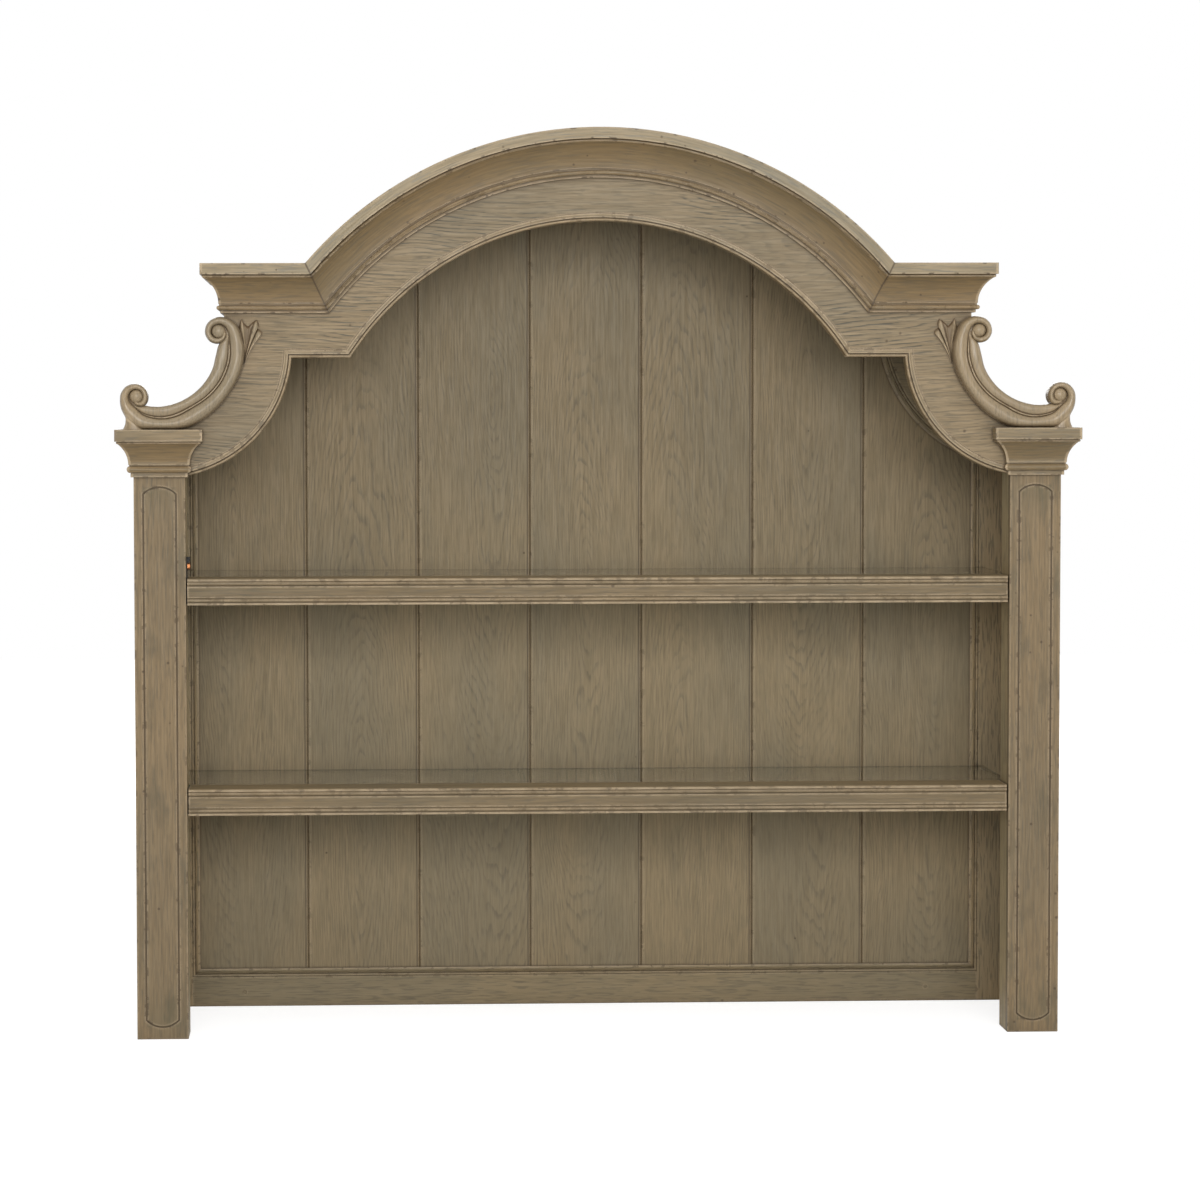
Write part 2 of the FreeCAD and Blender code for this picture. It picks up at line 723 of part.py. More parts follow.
def line_opening(which, name, section, across, outer_grow, inner_grow):
    """Mitred strips round an opening: arch, two shoulders and two curves."""
    inner, outer = opening(which, inner_grow), opening(which, outer_grow)
    up = f"arch_centre + {outer['arch'][2]} - ({{}})"
    arch = ring(name + "_arch_ring", set_out(section, across, up), "0", "arch_centre")
    top = "arch_centre + crown_radius"
    wedge = arch_wedge(name + "_arch_wedge", inner["mitre"], outer["mitre"], top)
    keep(name + "_arch", common(name + "_arch", arch, wedge))
    for side, way in both():
        node = f"{name}_shoulder_{side}"
        up = f"{outer['mitre'][1]} - ({{}})"
        strip = level(
            node + "_strip", set_out(section, across, up), inner["mitre"][0], outer["corner"][0], way,
        )
        trim = [inner["mitre"], outer["mitre"], outer["corner"], inner["corner"]]
        keep(node, common(node, strip, slab(node + "_trim", "front", trim, way)))
        node = f"{name}_curve_{side}"
        up = f"{outer['curve'][1]} - {outer['curve'][2]} - ({{}})"
        centre = f"{way} * {outer['curve'][0]}"
        curve = ring(node + "_ring", set_out(section, across, up), centre, outer["curve"][1])
        keep(node, common(node, curve, curve_wedge(node + "_wedge", inner, outer, way)))


def crown():
    """Crown moulding: over the arch, along the shoulders and back along the shoulders' sides."""
    section = moulding_section("crown")
    inner, outer = ("crown_mitre_foot", "crown_bottom"), ("crown_mitre_top", "shoulder_top")
    up = "arch_centre + crown_base_radius + ({})"
    arch = ring("crown_arch_ring", set_out(section, "frieze_face - ({})", up), "0", "arch_centre")
    wedge = arch_wedge("crown_arch_wedge", inner, outer, "crown_top + overrun")
    keep("crown_arch", common("crown_arch", arch, wedge))
    for side, way in both():
        node = "crown_shoulder_" + side
        loop = set_out(section, "frieze_face - ({})", "crown_bottom + ({})")
        strip = level(node + "_strip", loop, "crown_mitre_foot", "crown_end", way)
        trim = [inner, outer, ("crown_end", "shoulder_top"), ("crown_end", "crown_bottom")]
        front = "frieze_face - crown_projection"
        corner = [
            ("crown_mitre_foot", "frieze_face"), ("shoulder_half_width", "frieze_face"),
            ("crown_end", front), ("crown_mitre_foot", front),
        ]
        keep(node, common(
            node, strip, slab(node + "_trim", "front", trim, way),
            slab(node + "_corner", "plan", corner, way),
        ))
        node = "crown_return_" + side
        loop = flipped(set_out(section, "shoulder_half_width + ({})", "crown_bottom + ({})"), way)
        strip = prism(node + "_strip", "front", loop, "back_face", "overall_depth")
        corner = [
            ("shoulder_half_width", "frieze_face"), ("crown_end", front),
            ("crown_end", "back_face"), ("shoulder_half_width", "back_face"),
        ]
        keep(node, common(node, strip, slab(node + "_corner", "plan", corner, way)))


def capitals():
    """Capital moulding round each pilaster: inner return, front and outer return, mitred."""
    section = moulding_section("capital")
    front = "(pilaster_face - capital_projection)"
    inner_end = "(pilaster_inner - capital_projection)"
    for side, way in both():
        node = "capital_front_" + side
        loop = set_out(section, "pilaster_face - ({})", "capital_bottom + ({})")
        strip = level(node + "_strip", loop, inner_end, "capital_end", way)
        corner = [
            ("pilaster_inner", "pilaster_face"), ("case_half_width", "pilaster_face"),
            ("capital_end", front), (inner_end, front),
        ]
        keep(node, common(node, strip, slab(node + "_corner", "plan", corner, way)))
        node = "capital_inner_" + side
        loop = flipped(set_out(section, "pilaster_inner - ({})", "capital_bottom + ({})"), way)
        strip = prism(node + "_strip", "front", loop, "frieze_face", "frieze_setback + capital_projection")
        corner = [
            ("pilaster_inner", "frieze_face"), ("pilaster_inner", "pilaster_face"),
            (inner_end, front), (inner_end, "frieze_face"),
        ]
        piece = common(node + "_blank", strip, slab(node + "_corner", "plan", corner, way))
        keep(node, cut(node, piece, subparts["opening_bead_curve_" + side]))
        node = "capital_outer_" + side
        loop = flipped(set_out(section, "case_half_width + ({})", "capital_bottom + ({})"), way)
        strip = prism(node + "_strip", "front", loop, "back_face", f"back_face - {front}")
        corner = [
            ("case_half_width", "pilaster_face"), ("capital_end", front),
            ("capital_end", "back_face"), ("case_half_width", "back_face"),
        ]
        keep(node, common(node, strip, slab(node + "_corner", "plan", corner, way)))


def roof():
    """Thin panels behind the front: arch, level shoulders, and sides that curve to the capitals."""
    depth = "frame_face - frieze_rear"
    arch = [
        ("roof_mitre_under", "roof_under"),
        ("crown_mitre_top", "shoulder_top", "0", "arch_centre", "crown_radius"),
        ("-crown_mitre_top", "shoulder_top"),
        ("-roof_mitre_under", "roof_under", "0", "arch_centre", "roof_arch_under"),
    ]
    keep("roof_arch", board("roof_arch", "front", arch, "frame_face", depth))
    for side, way in both():
        shoulder = [
            ("roof_mitre_under", "roof_under"), ("crown_mitre_top", "shoulder_top"),
            ("shoulder_half_width", "shoulder_top"), ("shoulder_half_width", "roof_under"),
        ]
        node = "roof_shoulder_" + side
        keep(node, board(node, "front", flipped(shoulder, way), "frame_face", depth))
        cove = ("roof_cove_out", "roof_cove_up")
        wall = [
            ("case_half_width", "roof_flat_under"),
            ("case_half_width", "roof_flat_top"),
            ("roof_cove_out", "roof_flat_top", *cove, "roof_cove_radius"),
            ("shoulder_half_width", "roof_cove_up"),
            ("shoulder_half_width", "roof_under"),
            ("shoulder_half_width - roof_thickness", "roof_under"),
            ("shoulder_half_width - roof_thickness", "roof_cove_up", *cove, "roof_cove_radius + roof_thickness"),
            ("roof_cove_out", "roof_flat_under"),
        ]
        node = "roof_side_" + side
        keep(node, board(node, "front", flipped(wall, way), "frame_face", depth))


def scroll_parts(node, way, start, length, grow):
    """Solids of one C-scroll: its band between back and hollow, its two volutes and its foot."""
    x = f"{way} * ({{}})".format
    back = bar(node + "_back", x("scroll_back_out"), start, "scroll_back_up", "scroll_back_radius", length, "forwards")
    hollow = bar(
        node + "_hollow", x("scroll_hollow_out"), f"{start} + overrun", "scroll_hollow_up",
        grow, f"{length} + 2 * overrun", "forwards",
    )
    far = "scroll_back_out - scroll_back_radius - overrun"
    trim = [
        (far, "scroll_top_up"), ("scroll_top_out", "scroll_top_up"),
        ("scroll_hollow_out", "scroll_hollow_up"), ("scroll_foot_out", "scroll_foot_up"),
        ("scroll_foot_out", "capital_top"), (far, "capital_top"),
    ]
    return common(node, cut(node + "_arc", back, hollow), slab(node + "_trim", "front", trim, way))


def scrolls():
    """A carved C-scroll on each capital, lying against the frieze board."""
    full = "scroll_thickness + scroll_proud"
    for side, way in both():
        node, x = "scroll_" + side, f"{way} * ({{}})".format
        band = scroll_parts(node + "_band", way, "frieze_face", "scroll_thickness", "scroll_hollow_radius")
        inner = "scroll_hollow_radius + (scroll_back_radius - scroll_ridge_width - scroll_hollow_radius)"
        ridge = scroll_parts(node + "_ridge", way, "frieze_face", full, inner)
        solids = [band, ridge]
        for end in ("top", "foot"):
            across, up, radius = x(f"scroll_{end}_out"), f"scroll_{end}_up", f"scroll_{end}_radius"
            name = f"{node}_{end}"
            disc = bar(name + "_disc", across, "frieze_face", up, radius, full, "forwards")
            dish = bar(
                name + "_dish", across, "frieze_face - scroll_thickness", up,
                f"{radius} - scroll_rim_width", "scroll_proud + overrun", "forwards",
            )
            eye = bar(name + "_eye", across, "frieze_face", up, "scroll_eye_radius", full, "forwards")
            solids.append(cut(name, disc, dish))
            solids.append(eye)
        foot = [
            ("scroll_back_out", "capital_top"), ("scroll_heel_out", "capital_top"),
            ("scroll_waist_out", "scroll_waist_up"),
            (
                f"scroll_foot_out + scroll_foot_radius * {HEEL_OUT_SHARE}",
                f"scroll_foot_up - scroll_foot_radius * {HEEL_DOWN_SHARE}",
            ),
            ("scroll_foot_out", "scroll_foot_up"),
        ]
        solids.append(prism(node + "_heel", "front", flipped(foot, way), "frieze_face", "scroll_thickness"))
        keep(node, joined("Part::MultiFuse", node, solids))


def leaves():
    """A carved leaf spray beside each scroll: pointed lobes that spring from one stem."""
    length, thick = value("leaf_length"), value("leaf_thickness")
    for side, way in both():
        sign = float(way)
        stem = Vector(sign * value("leaf_stem_out"), value("frieze_face"), value("leaf_stem_up"))
        lobes = []
        for out, rise, half in LEAF_SHARES:
            tip = stem + Vector(sign * out * length, 0, rise * length)
            middle = stem + (tip - stem) * BELLY_SHARE
            beside = Vector(tip.z - stem.z, 0, stem.x - tip.x).normalize() * (half * length)
            edges = [
                Part.Arc(stem, middle + beside, tip).toShape(),
                Part.Arc(tip, middle - beside, stem).toShape(),
            ]
            lobes.append(Part.Face(Part.Wire(edges)).extrude(Vector(0, -thick, 0)))
        blank = doc.addObject("Part::Feature", "leaf_blank_" + side)
        blank.Shape = lobes[0].multiFuse(lobes[1:]).removeSplitter()
        blank.Placement = FreeCAD.Placement()
        keep("leaf_" + side, cut("leaf_" + side, blank, subparts["scroll_" + side]))


def back_outline(grow):
    """The whole edge of the back opening as one loop, moved outwards by a distance."""
    at = opening("back", grow)
    right = [
        at["sill"], (*at["foot"], *at["curve"]), at["corner"], (*at["mitre"], *at["arch"]),
    ]
    left = [
        at["mitre"], (*at["corner"], *at["curve"]), at["foot"], at["sill"],
    ]
    return right + flipped(left, "-1")


def back_frame():
    """Stiles, bottom rail and arched top rail, rabbeted behind for the boards."""
    rabbet = prism(
        "back_rabbet", "front", back_outline("board_rabbet"), "back_face + overrun", "board_thickness + overrun",
    )
    for side, way in both():
        node = "back_stile_" + side
        x = "back_half_width" if way == "1" else "-side_inner"
        stile = box(
            node + "_blank", x, "frame_face", "0", "side_inner - back_half_width",
            "frame_thickness", "roof_flat_under",
        )
        holes = [
            bar(
                f"{node}_hole_{shelf}", f"{way} * pin_out", "frame_face + pin_seat",
                f"{top} - glass_thickness - glass_play - pin_radius", "pin_radius", "pin_seat + overrun", "forwards",
            )
            for shelf, top in SHELVES.items()
        ]
        keep(node, cut(node, stile, rabbet, *holes))
    rail = box(
        "back_bottom_rail_blank", "-back_half_width", "frame_face", "0",
        "2 * back_half_width", "frame_thickness", "bottom_rail_height",
    )
    holes = [
        bar(
            "fixing_hole_" + side, f"{way} * fixing_hole_out", "back_face + overrun", "fixing_hole_up",
            "fixing_hole_radius", "frame_thickness + 2 * overrun", "forwards",
        )
        for side, way in both()
    ]
    keep("back_bottom_rail", cut("back_bottom_rail", rail, rabbet, *holes))
    at = opening("back", "0")
    loop = [("back_half_width", "roof_flat_under"), ("case_half_width", "roof_flat_under")]
    loop += case_edge("1")[1:] + case_edge("-1")[:-1]
    loop += [("-case_half_width", "roof_flat_under"), ("-back_half_width", "roof_flat_under")]
    loop += [
        (f"-1 * {at['foot'][0]}", at["foot"][1], "-1 * back_curve_out", *at["curve"][1:]),
        (f"-1 * {at['corner'][0]}", at["corner"][1]),
        (f"-1 * {at['mitre'][0]}", at["mitre"][1], *at["arch"]),
        at["mitre"], (*at["corner"], *at["curve"]), at["foot"],
    ]
    blank = board("back_top_rail_blank", "front", loop, "back_face", "frame_thickness")
    keep("back_top_rail", cut("back_top_rail", blank, rabbet))


def back_boards():
    """Upright boards with tongues and grooves, shaped to the rabbet in the frame."""
    play = "board_play"
    near, far = "board_face + board_thickness / 3", "board_face + 2 * board_thickness / 3"
    last = BOARD_COUNT - 1
    for index in range(BOARD_COUNT):
        joint = index - BOARD_COUNT / 2
        left = f"{joint} * board_pitch" if index > 0 else "-back_half_width - overrun"
        right = f"{joint + 1} * board_pitch" if index < last else "back_half_width + overrun"
        loop = [(f"{left} + board_chamfer", "board_face"), (f"{right} - board_chamfer", "board_face")]
        loop.append((right, "board_face + board_chamfer"))
        if index < last:
            tip = f"{right} + board_tongue - {play}"
            loop += [(right, near), (tip, near), (tip, far), (right, far)]
        loop += [(right, "back_face"), (left, "back_face")]
        if index > 0:
            floor = f"{left} + board_tongue"
            loop += [(left, f"{far} + {play}"), (floor, f"{far} + {play}")]
            loop += [(floor, f"{near} - {play}"), (left, f"{near} - {play}")]
        loop.append((left, "board_face + board_chamfer"))
        node = f"back_board_{index + 1}"
        strip = prism(node + "_strip", "plan", loop, "0", "crown_top")
        trim = prism(
            node + "_trim", "front", back_outline("(board_rabbet - board_play)"),
            "back_face + overrun", "board_thickness + 2 * overrun",
        )
        keep(node, common(node, strip, trim))


def back_mouldings():
    """Moulding inside the back frame: arch, shoulders, curves, sides and bottom, mitred."""
    section, across = back_moulding_section(), "board_face - ({})"
    inward = "(-back_moulding_width)"
    line_opening("back", "back_moulding", section, across, "0", inward)
    inner, outer = opening("back", inward), opening("back", "0")
    sill, seen = outer["sill"], inner["sill"]
    strip = prism(
        "back_moulding_bottom_strip", "side", set_out(section, across, "bottom_rail_height + ({})"),
        "-back_half_width", "2 * back_half_width",
    )
    trim = [sill, seen, *flipped([seen, sill], "-1")]
    node = "back_moulding_bottom"
    keep(node, common(node, strip, slab(node + "_trim", "front", trim, "1")))
    for side, way in both():
        node = "back_moulding_side_" + side
        loop = [
            (f"{way} * (back_half_width - ({c[1]}))", f"board_face - ({c[0]})")
            + ((f"{way} * (back_half_width - ({c[3]}))", f"board_face - ({c[2]})", c[4]) if len(c) > 2 else ())
            for c in section
        ]
        strip = prism(node + "_strip", "plan", loop, "0", "roof_flat_under")
        trim = [sill, outer["foot"], inner["foot"], seen]
        keep(node, common(node, strip, slab(node + "_trim", "front", trim, way)))


def rail_section(top):
    """Section of a shelf rail: rounded nose, two beads, and a rabbet behind for the glass."""
    front, behind = "frieze_face + ({})".format, f"{top} - ({{}})".format
    high, low = "rail_bead_radius", "rail_low_bead_radius"
    first = "(rail_nose + 2 * rail_bead_radius)"
    foot = "(rail_height - rail_foot - rail_quirk)"
    second = f"({foot} - 2 * {low})"
    rear = "(rail_depth - glass_lap - glass_play)"
    seat = "(glass_thickness + glass_play)"
    pairs = [
        ("rail_round", "0", "rail_round", "rail_round", "rail_round"),
        ("0", "rail_round"),
        ("0", "rail_nose"),
        (high, "rail_nose", high, f"rail_nose + {high}", high),
        ("0", f"rail_nose + {high}", high, f"rail_nose + {high}", high),
        (high, first),
        (high, f"{first} + rail_quirk"),
        ("rail_step", f"{first} + rail_quirk"),
        ("rail_step", f"{second} - rail_quirk"),
        (low, f"{second} - rail_quirk"),
        (low, second, low, f"{second} + {low}", low),
        ("0", f"{second} + {low}", low, f"{second} + {low}", low),
        (low, foot),
        (low, f"{foot} + rail_quirk"),
        ("rail_step / 2", f"{foot} + rail_quirk"),
        ("rail_step / 2", "rail_height"),
        ("rail_depth", "rail_height"),
        ("rail_depth", seat),
        (rear, seat),
        (rear, "0"),
    ]
    return [
        (front(c[0]), behind(c[1]), *((front(c[2]), behind(c[3]), c[4]) if len(c) > 2 else ()))
        for c in pairs
    ]


def shelves():
    """Moulded rails, the glass behind them, and the brackets and pins that carry both."""
    brackets, screws, pins = [], [], []
    for shelf, top in SHELVES.items():
        node, under = "shelf_rail_" + shelf, f"({top} - rail_height)"
        blank = board(node + "_blank", "side", rail_section(top), "-rail_half_length", "2 * rail_half_length")
        tools = []
        for side, way in both():
            tag = f"{shelf}_{side}"
            x = "rail_half_length - bracket_reach" if way == "1" else "-rail_half_length - overrun"
            tools.append(box(
                "recess_" + tag, x, "bracket_front", f"{under} - overrun",
                "bracket_reach + overrun", "bracket_width", "recess_depth + overrun",
            ))
            foot = box(
                "bracket_foot_" + tag, "pilaster_inner - bracket_reach" if way == "1" else "-pilaster_inner",
                "bracket_front", f"{under} + screw_head_height",
                "bracket_reach", "bracket_width", "bracket_thickness",
            )
            leg = box(
                "bracket_leg_" + tag, "pilaster_inner - bracket_thickness" if way == "1" else "-pilaster_inner",
                "bracket_front", f"{under} + screw_head_height",
                "bracket_thickness", "bracket_width", "bracket_height",
            )
            holes = []
            for number, share in (("a", "0.25"), ("b", "0.75")):
                spot = (
                    f"{way} * (pilaster_inner - bracket_reach / 2)",
                    f"bracket_front + bracket_width * {share}",
                )
                name = f"{tag}_{number}"
                shank = bar("shank_" + name, *spot, under, "screw_radius", "screw_length", "up")
                head = bar("head_" + name, *spot, under, "screw_head_radius", "screw_head_height", "up")
                screws.append(joined("Part::MultiFuse", "screw_" + name, [shank, head]))
                tools.append(shank)
                holes.append(shank)
            brackets.append(cut(
                "bracket_" + tag, joined("Part::MultiFuse", "bracket_blank_" + tag, [foot, leg]), *holes,
            ))
            pins.append(bar(
                "pin_" + tag, f"{way} * pin_out", "frame_face + pin_seat",
                f"{top} - glass_thickness - glass_play - pin_radius",
                "pin_radius", "pin_seat + pin_reach", "forwards",
            ))
        keep(node, cut(node, blank, *tools))
        keep("shelf_glass_" + shelf, box(
            "shelf_glass_" + shelf, "-glass_half_width", "glass_front", f"{top} - glass_thickness",
            "2 * glass_half_width", "glass_rear - glass_front", "glass_thickness",
        ))
    keep("rail_brackets", joined("Part::Compound", "rail_brackets", brackets))
    keep("bracket_screws", joined("Part::Compound", "bracket_screws", screws))
    keep("glass_pins", joined("Part::Compound", "glass_pins", pins))


def keeper():
    """Black plate with a hooked top and a knurled screw, at the left end of the upper rail."""
    high = "keeper_top - keeper_bottom"
    plate = box(
        "keeper_leaf", "-pilaster_inner", "keeper_front", "keeper_bottom",
        "keeper_thickness", "keeper_width", high,
    )
    hook = box(
        "keeper_hook", "-pilaster_inner", "keeper_front", "keeper_top - keeper_hook_height",
        "keeper_hook_reach", "keeper_width", "keeper_hook_height",
    )
    spot = ("keeper_front + keeper_width / 2", "keeper_screw_up")
    shank = bar(
        "keeper_shank", "-pilaster_inner + keeper_thickness", *spot,
        "screw_radius", "screw_length + keeper_thickness", "left",
    )
    head = bar(
        "keeper_head", "-pilaster_inner + keeper_thickness", *spot,
        "keeper_head_radius", "keeper_head_height", "right",
    )
    blank = joined("Part::MultiFuse", "keeper_blank", [plate, hook])
    keep("keeper_plate", cut("keeper_plate", blank, shank))
    keep("keeper_screw", joined("Part::MultiFuse", "keeper_screw", [shank, head]))


def export_all():
    """Checks every object and writes each sub-part to its own file."""
    doc.removeObject("Reader")
    doc.recompute()
    broken = [item.Label for item in doc.Objects if {"Invalid", "Error"} & set(item.State)]
    for node, item in subparts.items():
        if item.Shape.isNull() or not item.Shape.isValid() or not item.Shape.Solids:
            broken.append(node)
    if broken:
        raise RuntimeError("not sound: " + ", ".join(broken))
    os.makedirs("parts", exist_ok=True)
    for node, item in subparts.items():
        item.Shape.exportStep(os.path.join("parts", node + ".step"))
    print(len(subparts), "sub-parts written")


fill_sheet()
fill_places()
side_panels()
pilasters()
frieze()
crown()
capitals()
roof()
scrolls()
leaves()
back_frame()
back_boards()
back_mouldings()
shelves()
keeper()
export_all()
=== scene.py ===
"""Looks of the kitchen hutch: weathered oak, glazed creases, carved scrolls and leaves, glass shelves.

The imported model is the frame. Case, boards, mouldings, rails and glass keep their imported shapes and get
oak, glass and steel finishes. The scrolls, the leaf sprays and the keeper screw are carved and turned
here, in the place of their plain solids, and so are the caps in the fixing holes of the bottom rail.
"""

import math

import bmesh
import bpy
import numpy as np
from bpy.props import FloatProperty, FloatVectorProperty, IntProperty, PointerProperty
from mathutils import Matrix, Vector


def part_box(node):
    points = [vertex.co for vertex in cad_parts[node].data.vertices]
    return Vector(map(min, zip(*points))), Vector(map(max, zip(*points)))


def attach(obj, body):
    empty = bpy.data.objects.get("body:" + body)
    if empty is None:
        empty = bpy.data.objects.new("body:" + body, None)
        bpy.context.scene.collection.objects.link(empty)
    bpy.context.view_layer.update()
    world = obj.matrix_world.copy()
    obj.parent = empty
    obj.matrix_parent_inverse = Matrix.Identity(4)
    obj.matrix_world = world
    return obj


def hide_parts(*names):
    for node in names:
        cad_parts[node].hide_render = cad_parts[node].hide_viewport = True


bl_info = {
    "name": "Kitchen Hutch Finishes",
    "version": (1, 0, 0),
    "blender": (4, 5, 0),
    "location": "View3D > Sidebar > Hutch",
    "description": "Finishes, carvings and studio of a kitchen hutch",
    "category": "Object",
}

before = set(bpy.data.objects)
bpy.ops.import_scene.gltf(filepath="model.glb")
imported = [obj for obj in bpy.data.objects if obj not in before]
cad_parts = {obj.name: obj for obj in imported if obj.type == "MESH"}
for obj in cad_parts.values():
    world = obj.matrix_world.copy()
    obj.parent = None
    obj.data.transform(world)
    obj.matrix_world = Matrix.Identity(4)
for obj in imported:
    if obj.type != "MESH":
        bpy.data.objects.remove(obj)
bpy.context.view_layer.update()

MM = 0.001


def colour(name, description, default):
    """A colour that a user can change, as red, green and blue in linear light."""
    return FloatVectorProperty(
        name=name, description=description, default=default, size=3, min=0.0, max=1.0, subtype="COLOR"
    )


def length(name, description, default):
    """A length in metres that a user can change."""
    return FloatProperty(
        name=name, description=description, default=default, min=0.0, soft_max=0.5, precision=4, unit="LENGTH"
    )


def amount(name, description, default, top=1.0):
    """A plain number from nought that a user can change."""
    return FloatProperty(name=name, description=description, default=default, min=0.0, max=top)


# Sizes and colours ---------------------------------------------------------------------------------


class HutchOak(bpy.types.PropertyGroup):
    """Colours and grain of the weathered oak."""

    frieze: colour("Frieze Oak", "Oak of the frieze", (0.257, 0.193, 0.112))
    case: colour("Case Oak", "Oak of pilasters and sides", (0.219, 0.155, 0.082))
    rails: colour("Rail Oak", "Oak of the shelf rails", (0.184, 0.133, 0.070))
    moulded: colour("Moulded Oak", "Oak of the crown, the capitals and the beads", (0.199, 0.135, 0.063))
    boards: colour("Board Oak", "Oak of the back", (0.246, 0.187, 0.104))
    # Post Oak and Stile Oak are lighter than the oak round them: painted light, standing in for the light that
    # reaches behind the pilasters.
    posts: colour("Post Oak", "Oak of the posts behind the pilasters", (0.375, 0.290, 0.160))
    stiles: colour("Stile Oak", "Oak of the back stiles", (0.306, 0.226, 0.125))
    carved: colour("Carved Oak", "Oak of the scrolls and leaves", (0.312, 0.236, 0.143))
    grain: colour("Grain", "Grey glaze in the growth rings", (0.082, 0.072, 0.050))
    glaze: colour("Glaze", "Dark brown glaze left in creases", (0.078, 0.052, 0.028))
    # The next colour is the pale of worn edges, and also a painted highlight on edges and bead crests.
    rubbed: colour("Rubbed Oak", "Pale warm oak where edges are rubbed", (0.455, 0.350, 0.222))
    ring_gap: length("Ring Gap", "Distance between two growth rings", 0.0062)
    glaze_reach: length("Glaze Reach", "How far the glaze spreads out of a crease", 0.0040)
    # The reach below sizes the hollows that painted shade darkens.
    hollow_reach: length("Hollow Reach", "Size of the hollows that are toned down", 0.030)
    # The reach below sets how far the pale of worn edges, with its painted highlight, reaches.
    wear_reach: length("Wear Reach", "How far the rubbed edges reach", 0.0040)
    softness: length("Edge Softness", "Radius of the eased edges", 0.0008)
    roughness: amount("Roughness", "Roughness of the waxed oak", 0.56)


class HutchCarving(bpy.types.PropertyGroup):
    """Sizes of the scrolls and leaf sprays."""

    ridge: length("Ridge Height", "How far the ridge of a scroll stands off the frieze", 0.031)
    crease: length("Crease Height", "Height of the crease between ridge and inner band", 0.0232)
    band: length("Band Height", "Height of the inner band", 0.0278)
    floor: length("Volute Floor", "Height of the floor round an eye", 0.0222)
    eye: length("Eye Radius", "Radius of the boss in a volute", 0.0112)
    leaf: length("Leaf Height", "How far a leaf stands off the frieze", 0.0085)
    steps: IntProperty(name="Steps", description="Rows of points along a scroll", default=260, min=40, max=600)


class HutchHardware(bpy.types.PropertyGroup):
    """Colours of glass, steel and copper."""

    glass: colour("Glass", "Tint of the glass seen through its faces", (0.965, 0.998, 0.980))
    # This green is also painted on the borders of the faces, as a painted reflection of the edge.
    glass_edge: colour("Glass Edge", "Green of the glass seen through its edges", (0.008, 0.026, 0.016))
    blackened: colour("Blackened Steel", "Brackets and keeper plate", (0.026, 0.025, 0.024))
    bright: colour("Bright Steel", "Pins and screws", (0.52, 0.51, 0.49))
    copper: colour("Copper", "Thumb screw of the keeper", (0.62, 0.25, 0.10))
    knurls: IntProperty(name="Knurls", description="Ridges round the thumb screw", default=22, min=6, max=60)


class HutchStudio(bpy.types.PropertyGroup):
    """Light and camera."""

    daylight: amount("Daylight", "Strength of the light from all round", 0.29, 4.0)
    front: amount("Front Light", "Power of the large lamp in front, in watts", 184.0, 2000.0)
    side: amount("Side Light", "Power of the lamp on each side, in watts", 48.0, 2000.0)
    back: amount("Back Light", "Power of the lamp behind, in watts", 120.0, 2000.0)
    top: amount("Top Light", "Power of the lamp above, in watts", 40.0, 2000.0)
    focal: FloatProperty(name="Focal Length", description="Lens of the camera, in millimetres", default=110.101)
    shift: FloatProperty(name="Lens Shift", description="How far the lens looks to the right", default=0.1)
    floor: colour("Floor", "Pale studio floor", (0.80, 0.80, 0.80))


# Node tools ----------------------------------------------------------------------------------------


class Value:
    """A shader's value on its way through the nodes. Arithmetic with it makes Math nodes in its tree."""

    def __init__(self, socket):
        self.socket = socket

    def __add__(self, other):
        return worked("ADD", self, other)

    def __sub__(self, other):
        return worked("SUBTRACT", self, other)

    def __rsub__(self, other):
        return worked("SUBTRACT", other, self)

    def __mul__(self, other):
        return worked("MULTIPLY", self, other)

    def __truediv__(self, other):
        return worked("DIVIDE", self, other)

    def __abs__(self):
        return worked("ABSOLUTE", self)


def worked(operation, *given):
    """The outcome of one Math node on values and plain numbers."""
    tree = next(one.socket.id_data for one in given if isinstance(one, Value))
    return Value(node(tree, "ShaderNodeMath", dict(enumerate(given)), operation=operation).outputs[0])


def node(tree, kind, inputs=None, **settings):
    """A new node with its settings, and with each named or numbered input set or linked."""
    made = tree.nodes.new(kind)
    for key, setting in settings.items():
        setattr(made, key, setting)
    for key, given in (inputs or {}).items():
        given = given.socket if isinstance(given, Value) else given
        if isinstance(given, bpy.types.NodeSocket):
            tree.links.new(given, made.inputs[key])
        else:
            made.inputs[key].default_value = given
    return made


def values(made):
    """The outputs of a node by their names."""
    return {socket.name: Value(socket) for socket in made.outputs}


def axes(tree, vector):
    """The three numbers of a vector."""
    return list(values(node(tree, "ShaderNodeSeparateXYZ", {0: vector})).values())


def vector_of(tree, *three):
    """A vector from three numbers."""
    return node(tree, "ShaderNodeCombineXYZ", dict(enumerate(three))).outputs[0]


def object_place(tree):
    """Object coordinates, which start at the middle of the hutch's foot."""
    return node(tree, "ShaderNodeTexCoord").outputs["Object"]


def surface_normal(tree):
    """The three numbers of the surface's direction."""
    return axes(tree, node(tree, "ShaderNodeNewGeometry").outputs["Normal"])


def noise(tree, vector, scale, detail, rough=0.5):
    """Smooth noise over a vector."""
    inputs = {"Vector": vector, "Scale": scale, "Detail": detail, "Roughness": rough}
    return values(node(tree, "ShaderNodeTexNoise", inputs))["Fac"]


def spread(given, low, high, to_low=0.0, to_high=1.0):
    """A value moved smoothly from one range to another, and held at its ends."""
    inputs = dict(enumerate((given, low, high, to_low, to_high)))
    tree = given.socket.id_data
    return Value(node(tree, "ShaderNodeMapRange", inputs, interpolation_type="SMOOTHSTEP").outputs[0])


def blend(tree, share, first, second, mode="MIX"):
    """Two colours mixed by a share."""
    inputs = {0: share, 6: first, 7: second}
    return node(tree, "ShaderNodeMix", inputs, data_type="RGBA", blend_type=mode).outputs[2]


def full(rgb, by=(1.0, 1.0, 1.0)):
    """A colour for a socket, each channel times its share."""
    return (*[channel * share for channel, share in zip(rgb, by)], 1.0)


